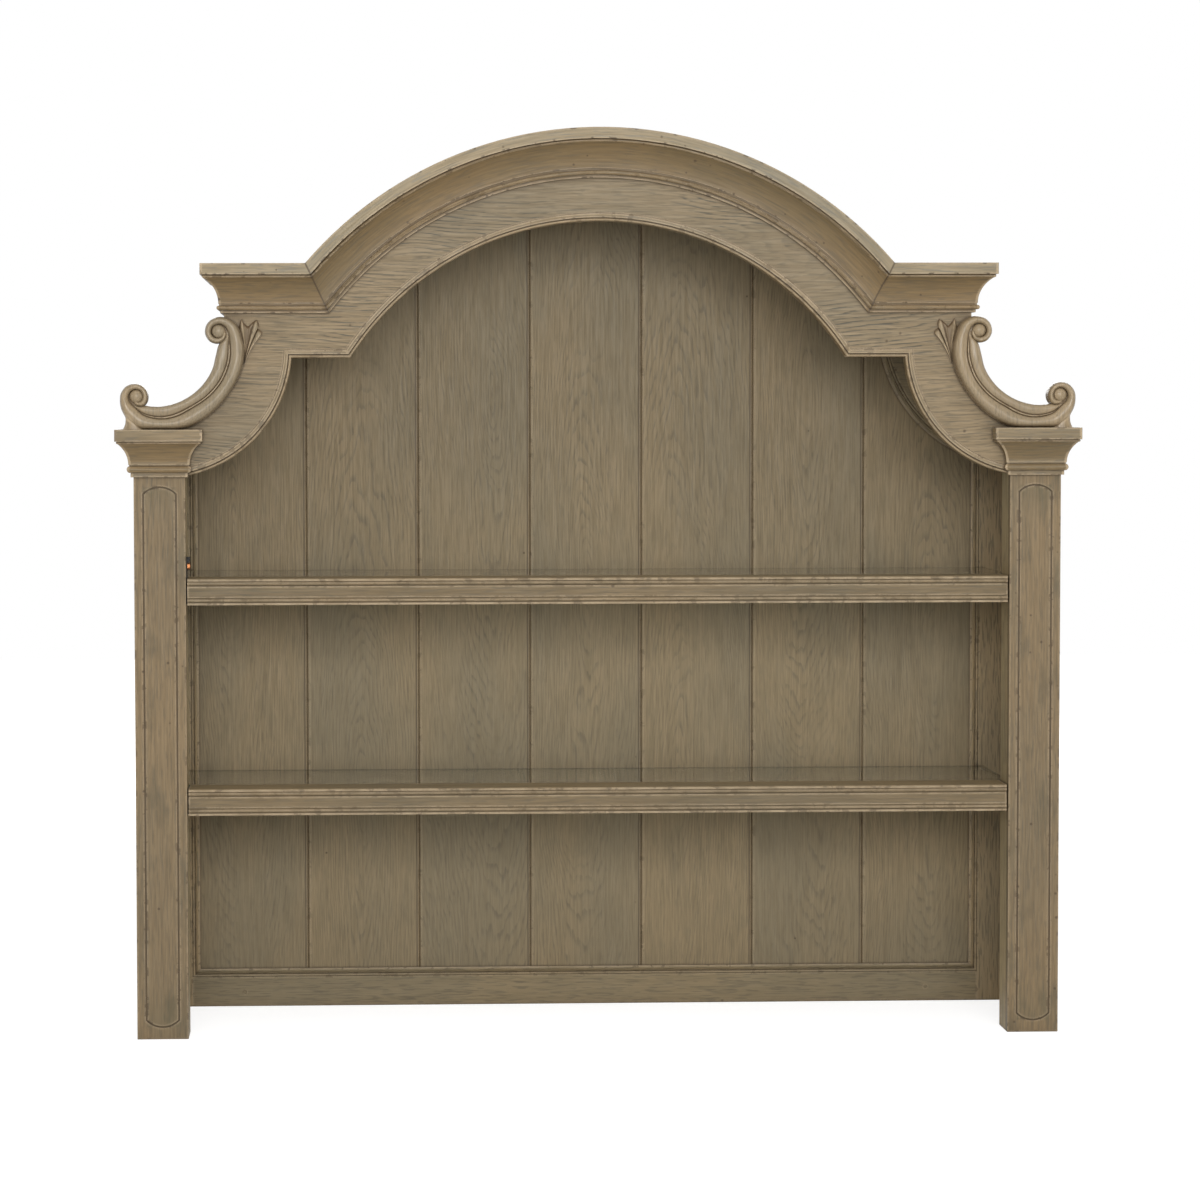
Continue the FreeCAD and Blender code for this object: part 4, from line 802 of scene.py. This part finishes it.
# The flared foot under the lower volute: its outer and inner edge in mm, from top to bottom
FOOT_ROWS = (
    (-781.5, 1046.0, -770.0, 1046.0), (-782.6, 1038.0, -768.0, 1038.0), (-782.2, 1031.0, -764.0, 1031.0),
    (-782.6, 1024.0, -760.0, 1024.0), (-784.6, 1018.0, -757.0, 1018.0), (-786.6, 1014.2, -754.0, 1014.2),
    (-787.0, 1013.5, -752.0, 1013.5),
)


def placed(across, up, off, way):
    """Points of the frame, in metres, from mm across and up on the left side and metres off the frieze."""
    side = 1.0 if way < 0 else -1.0
    return np.stack([across * MM * side, FRIEZE_FACE - off, up * MM], -1)


def eased(count):
    """Numbers from 0 to 1 that lie closer together towards both ends: half of 1 less a cosine."""
    return 0.5 - 0.5 * np.cos(np.linspace(0, math.pi, count))


def rounded(share, power=0.5):
    """Heights over a strip, 0 at its edges and 1 in its middle: a power of a parabola, by itself an ellipse."""
    return np.clip(1 - (2 * share - 1) ** 2, 0, 1) ** power


def walled(outer, place, inner, lift):
    """The points and heights of a strip with a wall on each side, straight back to the frieze."""
    lift = np.pad(np.broadcast_to(lift, place.shape[:2]), ((0, 0), (1, 1)))
    return np.concatenate([outer[:, None], place, inner[:, None]], 1), lift


def scroll_band(way, steps, sizes):
    """The carved band of a scroll as one closed shell.

    Along it, outer edge, crease and inner edge follow smooth curves. Across it, the ridge is half an
    ellipse from outer edge to crease, a thin bead lies beside the crease, and the band is a flatter half
    ellipse from there to the inner edge. Straight walls go back to the frieze. A sum of bell curves sets
    the dark: glaze in the crease and at the foot of the bead, and painted shade on the outer and inner
    edges and on the walls.
    """
    rows = smooth_rows(SCROLL_ROWS, steps)
    outer, crease, inner = rows[:, 0:2], rows[:, 2:4], rows[:, 4:6]
    ridge = (rows[:, 6] * sizes.ridge)[:, None]
    low = (rows[:, 7] * sizes.crease)[:, None]
    high = (rows[:, 8] * sizes.band)[:, None]
    width = np.linalg.norm(inner - crease, axis=1)[:, None] * MM
    grown = np.clip(width / BAND_WIDTH, 0.0, 1.0)
    u, w, v = eased(15), eased(7)[1:], eased(13)[1:]
    edge = 0.52 * ridge * (1 - u) + low * u
    over = edge + (ridge - edge) * rounded(u)
    bead = low + BEAD_RISE * grown * rounded(w)
    fall = low * (1 - v) + (low + (high * 0.74 - low) * grown) * v
    crest = low + (high - low) * grown
    swell = fall + (crest - fall) * rounded(v)
    share = np.concatenate([u, 1 + BEAD_SHARE * w, 1 + BEAD_SHARE + (1 - BEAD_SHARE) * v])
    lift = np.concatenate([over, bead, swell], 1)
    place = np.where(
        share[None, :, None] <= 1,
        outer[:, None] + (crease - outer)[:, None] * share[None, :, None],
        crease[:, None] + (inner - crease)[:, None] * (share[None, :, None] - 1),
    )
    place, lift = walled(outer, place, inner, lift)
    # Glaze in the crease and at the bead's foot; painted shade on the edges and, below, on the walls.
    glaze_and_shade_curves = [(0.0, 0.13, 0.6), (1.0, 0.04, 1.0), (1 + BEAD_SHARE, 0.045, 0.9), (2.0, 0.10, 0.35)]
    kept = sum(most * np.exp(-(((share - centre) / wide) ** 2)) for centre, wide, most in glaze_and_shade_curves)
    kept = np.clip(np.concatenate([[0.6], kept, [0.4]]), 0, 1)
    return mesh_from_grid("band", placed(place[..., 0], place[..., 1], lift, way), 50.0, kept[None, :])


def turned_boss(way, eye, profile, around=48):
    """A turned shape about an eye: each point of a profile of radius, height and glaze goes once round it."""
    profile = np.asarray(profile, float)
    turn = np.linspace(0, 2 * math.pi, around, endpoint=False)
    across = eye[0] + profile[:, 0:1] / MM * np.cos(turn)
    up = eye[1] + profile[:, 0:1] / MM * np.sin(turn)
    off = np.repeat(profile[:, 1:2], around, 1)
    return mesh_from_grid("boss", placed(across, up, off, way), 50.0, profile[:, 2:3])


def cover_cap(way):
    """An oak cap in a fixing hole: a short turned plug, flat in front with a quarter round as its rim."""
    hole = FIXING_RADIUS
    points = [(0.0001, 0.0)]
    points += [(hole * (0.8 + 0.2 * math.sin(a)), -hole * 0.2 * (1 - math.cos(a)))
               for a in np.linspace(0, math.pi / 2, 5)]
    points += [(hole, -2 * hole), (0.0001, -2 * hole)]
    front = FRIEZE_FACE - (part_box("back_bottom_rail")[0].y + FIXING_DEPTH)
    profile = [(reach, off + front, 0) for reach, off in points]
    return turned_boss(way, (-FIXING_OUT / MM, FIXING_UP / MM), profile, 32)


def scroll_eye(way, eye, sizes, reach):
    """The floor of a volute and the round boss in it: a dome, a neck, a flat floor and a wall behind."""
    neck = sizes.floor + NECK_RISE
    points = [(sizes.eye * math.sin(a), neck + DOME_RISE * math.cos(a), 0.5 * math.sin(a) ** 12)
              for a in np.linspace(0.02, math.pi / 2, 9)]
    points += [(sizes.eye * 0.97, sizes.floor, 0.7), (sizes.eye * 1.05, sizes.floor - 0.0008, 0.7),
               (reach * 0.9, sizes.floor - 0.0004, 0.4), (reach, sizes.floor - 0.002, 0.5), (reach, 0.0, 0.5)]
    return turned_boss(way, eye, points)


def scroll_foot(way, sizes):
    """The flared foot: a rounded strip between two smooth curves, highest in its middle."""
    rows = smooth_rows(FOOT_ROWS, 24)
    outer, inner = rows[:, 0:2], rows[:, 2:4]
    u = eased(13)
    lift = (0.62 + 0.38 * rounded(u, 0.3)) * sizes.band * 0.98
    place = outer[:, None] + (inner - outer)[:, None] * u[None, :, None]
    place, lift = walled(outer, place, inner, lift)
    return mesh_from_grid("foot", placed(place[..., 0], place[..., 1], lift, way))


# The rim of a leaf spray on the left side, from the scroll's ridge round to its outer edge: across and
# up in mm, the share of a lobe's height there, and how far the ray to it bows
LEAF_STEM = (-587.6, 1119.0)
LEAF_RIM = (
    (-597.5, 1176.0, 0.55, 3.0), (-595.0, 1186.0, 0.8, 3.0), (-591.6, 1195.2, 1.0, 2.6),
    (-588.4, 1190.6, 0.65, 2.0), (-584.6, 1186.4, 0.45, 1.4), (-580.7, 1183.2, 0.35, 0.8),
    (-576.0, 1187.4, 0.45, 0.2), (-571.2, 1191.4, 0.3, -0.4), (-568.8, 1192.6, 0.8, -0.8),
    (-565.6, 1194.2, 1.0, -1.0), (-563.2, 1189.0, 0.9, -1.4), (-562.7, 1184.3, 0.7, -1.6),
    (-565.2, 1180.0, 0.25, -1.6), (-562.4, 1178.4, 0.8, -2.0), (-559.3, 1176.3, 1.0, -2.4),
    (-557.0, 1172.4, 1.0, -2.8), (-558.6, 1168.6, 0.7, -3.0),
)


def leaf_spray(way, sizes):
    """A leaf spray as one fan.

    Rays run from the stem to each point of the rim and bow sideways by a parabola. Heights rise from the
    stem, follow the lobes across the fan and dip to the frieze at the rim. Glaze and painted shade stay
    between the lobes and round the rim.
    """
    rays = 129
    rim = smooth_rows(LEAF_RIM, rays)
    along = np.linspace(0.0, 1.0, 30)[None, :]
    stem = np.array(LEAF_STEM)
    ray = rim[:, None, 0:2] - stem
    square = np.stack([-ray[..., 1], ray[..., 0]], -1) / np.linalg.norm(ray, axis=-1, keepdims=True)
    bow = (rim[:, None, 3] * 4 * along * (1 - along))[..., None]
    place = stem + ray * along[..., None] - square * bow
    lobe = rim[:, None, 2]
    body = np.clip(along * 5, 0, 1) ** 0.6 * np.clip((1.0 - along) * 9, 0, 1) ** 0.5
    lift = sizes.leaf * (0.12 + 0.88 * lobe) * body * (0.72 + 0.28 * along)
    ends = np.minimum(np.arange(rays), np.arange(rays)[::-1])[:, None]
    lift = lift * np.clip(ends / 5.0, 0, 1) ** 0.5
    front = placed(place[..., 0], place[..., 1], lift, way)
    back = placed(place[..., 0], place[..., 1], np.full_like(lift, -0.0005), way)
    ring = np.concatenate([front, back[:, ::-1]], 1)
    # Glaze and painted shade between the lobes and round the rim.
    between = np.clip(1 - lobe, 0, 1) ** 1.3 * np.clip(along * 3, 0, 1)
    kept = np.clip(between + np.clip((along - 0.93) * 14, 0, 0.9), 0, 1)
    return mesh_from_grid("leaf", ring, 35.0, np.concatenate([kept, kept[:, ::-1]], 1))


def thumb_screw(low, high, knurls):
    """The keeper's thumb screw between two corners, turned about the way across: a knurled rim whose radius
    ripples with the angle, a dished face and a shank."""
    low, high = np.array(low), np.array(high)
    middle = (low + high) / 2
    reach = (high[2] - low[2]) / 2
    deep = high[0] - low[0]
    turn = np.linspace(0, 2 * math.pi, knurls * 8, endpoint=False)
    profile = np.array([
        (0.001, 0.86, 0), (0.45, 0.86, 0), (0.62, 1.0, 0), (0.84, 1.0, 0), (0.93, 0.97, 1), (0.965, 0.88, 1),
        (0.965, 0.30, 1), (0.93, 0.22, 1), (0.80, 0.18, 0), (0.45, 0.16, 0), (0.45, 0.0, 0), (0.001, 0.0, 0),
    ])
    ripple = 1 - 0.05 * profile[:, 2:3] * (0.5 + 0.5 * np.cos(turn * knurls))
    radius = reach * profile[:, 0:1] * ripple
    flat = low[0] if abs(high[0]) < abs(low[0]) else high[0]
    sign = 1.0 if flat == low[0] else -1.0
    across = np.repeat(flat + sign * (deep * profile[:, 1:2]), len(turn), 1)
    points = np.stack([across, middle[1] + radius * np.cos(turn), middle[2] + radius * np.sin(turn)], -1)
    return mesh_from_grid("screw", points, 30.0)


# Operators -----------------------------------------------------------------------------------------

SIDES = (("left", -1), ("right", 1))

# Each lamp's name, the property with its power, its place, the point it looks at and its two sides
LAMPS = (
    ("front", "front", (0.1, -5.4, 1.9), (0.0, 0.0, 0.9), (3.4, 1.7)),
    ("top", "top", (-0.3, -2.6, 4.6), (0.0, 0.0, 1.0), (3.4, 2.0)),
    ("left", "side", (-5.5, -0.8, 2.2), (0.0, 0.0, 0.8), (3.0, 2.0)),
    ("right", "side", (5.5, -0.8, 2.2), (0.0, 0.0, 0.8), (3.0, 2.0)),
    ("back", "back", (0.4, 5.6, 2.6), (0.0, 0.0, 0.8), (4.4, 2.6)),
)

# The floor reaches this far each way. As the camera sees it, it is a grey that takes shadow and a glow
# that grows from near the hutch outwards, each as a distance and a strength.
FLOOR_REACH = 9.0
FLOOR_SEEN = (0.50, 0.50, 0.50)
GLOW_NEAR, GLOW_FAR = (1.4, 0.79), (3.0, 1.02)

# The photograph's view: in front, a little left of the middle and above it
CAMERA_PLACE = (-0.4314, -6.2357, 1.0530)
CAMERA_TURN = (90.0 - 3.042, 0.125, -2.200)
SENSOR = 36.0


class HUTCH_OT_finish_case(bpy.types.Operator):
    """Give pilasters, posts, sides, frieze, rails and roof their oak."""

    bl_idname = "hutch.finish_case"
    bl_label = "Finish Case"

    def execute(self, context):
        dress(CASE_OAK)
        return {"FINISHED"}


class HUTCH_OT_finish_mouldings(bpy.types.Operator):
    """Give crown, capitals and opening bead their glazed oak."""

    bl_idname = "hutch.finish_mouldings"
    bl_label = "Finish Mouldings"

    def execute(self, context):
        dress(MOULDING_OAK)
        return {"FINISHED"}


class HUTCH_OT_finish_back(bpy.types.Operator):
    """Give the boards, the frame round them and its moulding their oak, and cap the fixing holes."""

    bl_idname = "hutch.finish_back"
    bl_label = "Finish Back"

    def execute(self, context):
        dress(BACK_OAK)
        tint = context.scene.hutch_oak.boards
        wood = oak("cap_oak", tint, "across", figure=0.2, pores=0.3, wear=0.0, glaze=0.5, marks=0.0)
        for side, way in SIDES:
            one_piece(f"fixing_cap_{side}", [cover_cap(way)], wood, "case", [])
        return {"FINISHED"}


class HUTCH_OT_finish_hardware(bpy.types.Operator):
    """Give the glass, brackets, pins and screws their finish, and turn the keeper's thumb screw."""

    bl_idname = "hutch.finish_hardware"
    bl_label = "Finish Glass And Hardware"

    def execute(self, context):
        sizes = context.scene.hutch_hardware
        give(["shelf_glass_upper", "shelf_glass_lower"], shelf_glass())
        give(["rail_brackets", "keeper_plate"], metal("blackened_steel", sizes.blackened, 0.42, 0.35))
        give(["glass_pins", "bracket_screws"], metal("bright_steel", sizes.bright, 0.30, 0.2))
        mesh = thumb_screw(*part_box("keeper_screw"), sizes.knurls)
        copper = metal("copper_screw_metal", sizes.copper, 0.34, 0.3)
        one_piece("keeper_thumb_screw", [mesh], copper, "case", ["keeper_screw"])
        return {"FINISHED"}


class HUTCH_OT_carve_scrolls(bpy.types.Operator):
    """Carve the scroll on each capital."""

    bl_idname = "hutch.carve_scrolls"
    bl_label = "Carve Scrolls"

    def execute(self, context):
        sizes, tint = context.scene.hutch_carving, context.scene.hutch_oak.carved
        wood = oak("carved_oak_scroll", tint, "up", figure=0.12, pores=0.25, lean=0.05, heart=0.05, marks=0.05,
                   glaze=0.45, wear=0.9, hollow=0.35, sheen=0.27, fine=0.8, smudges=0.15, carved=0.8)
        for side, way in SIDES:
            parts = [
                scroll_band(way, sizes.steps, sizes),
                scroll_eye(way, UPPER_EYE, sizes, UPPER_FLOOR),
                scroll_eye(way, LOWER_EYE, sizes, LOWER_FLOOR),
                scroll_foot(way, sizes),
            ]
            one_piece(f"carved_scroll_{side}", parts, wood, "case", [f"scroll_{side}"])
        return {"FINISHED"}


class HUTCH_OT_carve_leaves(bpy.types.Operator):
    """Carve the leaf spray beside each scroll."""

    bl_idname = "hutch.carve_leaves"
    bl_label = "Carve Leaves"

    def execute(self, context):
        sizes, tint = context.scene.hutch_carving, context.scene.hutch_oak.carved
        wood = oak("carved_oak_leaf", tint, "up", figure=0.15, pores=0.3, lean=0.05, heart=0.05, marks=0.0,
                   glaze=1.0, wear=1.0, sheen=0.12, fine=0.9, carved=1.0)
        for side, way in SIDES:
            parts = [leaf_spray(way, sizes)]
            one_piece(f"carved_leaf_{side}", parts, wood, "case", [f"leaf_{side}"])
        return {"FINISHED"}


class HUTCH_OT_set_stage(bpy.types.Operator):
    """Set up the floor, the daylight, the lamps and the camera."""

    bl_idname = "hutch.set_stage"
    bl_label = "Set Stage"

    def execute(self, context):
        studio = context.scene.hutch_studio
        self.lay_floor(studio)
        self.light_room(studio)
        for name, power, place, aim, size in LAMPS:
            self.hang_lamp(name, place, aim, size, getattr(studio, power))
        self.place_camera(studio)
        context.scene.view_settings.view_transform = "Standard"
        return {"FINISHED"}

    def lay_floor(self, studio):
        """A pale floor that the camera and reflections see as white, with the object's shadow on it."""
        corners = FLOOR_REACH * np.array([(-1, -1, 0), (1, -1, 0), (1, 1, 0), (-1, 1, 0)])
        mesh = bpy.data.meshes.new("studio_floor")
        mesh.from_pydata(corners.tolist(), [], [(0, 1, 2, 3)])
        floor = bpy.data.objects.new("studio_floor", mesh)
        bpy.context.scene.collection.objects.link(floor)
        made = bpy.data.materials.new("studio_floor_pale")
        tree = emptied(made)
        away = values(node(tree, "ShaderNodeVectorMath", {0: object_place(tree)}, operation="LENGTH"))["Value"]
        glow = spread(away, GLOW_NEAR[0], GLOW_FAR[0], GLOW_NEAR[1], GLOW_FAR[1])
        paper = node(tree, "ShaderNodeBsdfDiffuse", {"Color": full(studio.floor)}).outputs[0]
        shaded = node(tree, "ShaderNodeBsdfDiffuse", {"Color": full(FLOOR_SEEN)}).outputs[0]
        white = node(tree, "ShaderNodeEmission", {"Color": full((1.0, 1.0, 1.0)), "Strength": glow}).outputs[0]
        seen = node(tree, "ShaderNodeAddShader", {0: shaded, 1: white}).outputs[0]
        chosen = node(tree, "ShaderNodeMixShader", {0: seen_directly(tree), 1: paper, 2: seen}).outputs[0]
        node(tree, "ShaderNodeOutputMaterial", {"Surface": chosen})
        mesh.materials.append(made)

    def light_room(self, studio):
        """Even daylight from all round, seen as plain white."""
        world = bpy.data.worlds.new("studio_daylight")
        bpy.context.scene.world = world
        tree = emptied(world)
        strength = seen_directly(tree) * (1.0 - studio.daylight) + studio.daylight
        light = node(tree, "ShaderNodeBackground", {"Color": full((1.0, 1.0, 1.0)), "Strength": strength})
        node(tree, "ShaderNodeOutputWorld", {"Surface": light.outputs[0]})

    def hang_lamp(self, name, place, aim, size, power):
        """A rectangular soft lamp that looks at a point."""
        light = bpy.data.lights.new("studio_" + name, "AREA")
        light.shape = "RECTANGLE"
        light.size, light.size_y = size
        light.energy = power
        lamp = bpy.data.objects.new("studio_" + name, light)
        bpy.context.scene.collection.objects.link(lamp)
        lamp.location = place
        lamp.visible_camera = False
        away = np.array(aim, float) - np.array(place, float)
        flat = math.hypot(away[0], away[1])
        lamp.rotation_euler = (math.atan2(flat, -away[2]), 0.0, math.atan2(-away[0], away[1]))

    def place_camera(self, studio):
        """The camera at the photograph's view."""
        lens = bpy.data.cameras.new("studio_camera")
        lens.sensor_fit, lens.sensor_width, lens.lens = "HORIZONTAL", SENSOR, studio.focal
        lens.shift_x = studio.shift
        camera = bpy.data.objects.new("studio_camera", lens)
        bpy.context.scene.collection.objects.link(camera)
        camera.location = CAMERA_PLACE
        camera.rotation_euler = [math.radians(turn) for turn in CAMERA_TURN]
        bpy.context.scene.camera = camera


STEPS = (
    HUTCH_OT_set_stage, HUTCH_OT_finish_case, HUTCH_OT_finish_mouldings, HUTCH_OT_finish_back,
    HUTCH_OT_finish_hardware, HUTCH_OT_carve_scrolls, HUTCH_OT_carve_leaves,
)
GROUPS = {
    "hutch_oak": HutchOak, "hutch_carving": HutchCarving, "hutch_hardware": HutchHardware,
    "hutch_studio": HutchStudio,
}


class HUTCH_PT_panel(bpy.types.Panel):
    """Sizes, colours and steps of the hutch."""

    bl_idname = "HUTCH_PT_panel"
    bl_label = "Kitchen Hutch"
    bl_space_type = "VIEW_3D"
    bl_region_type = "UI"
    bl_category = "Hutch"

    def draw(self, context):
        for name in GROUPS:
            sizes = getattr(context.scene, name)
            column = self.layout.box().column()
            for label in sizes.__annotations__:
                column.prop(sizes, label)
        for step in STEPS:
            self.layout.operator(step.bl_idname)


def register():
    """Make the operators, the panel and the property groups known."""
    for made in (*GROUPS.values(), *STEPS, HUTCH_PT_panel):
        bpy.utils.register_class(made)
    for name, group in GROUPS.items():
        setattr(bpy.types.Scene, name, PointerProperty(type=group))


def unregister():
    """Take them away again."""
    for name in GROUPS:
        delattr(bpy.types.Scene, name)
    for made in (HUTCH_PT_panel, *reversed(STEPS), *reversed(list(GROUPS.values()))):
        bpy.utils.unregister_class(made)


def main():
    """Build everything in order."""
    register()
    for step in STEPS:
        space, call = step.bl_idname.split(".")
        getattr(getattr(bpy.ops, space), call)()


if __name__ == "__main__":
    main()
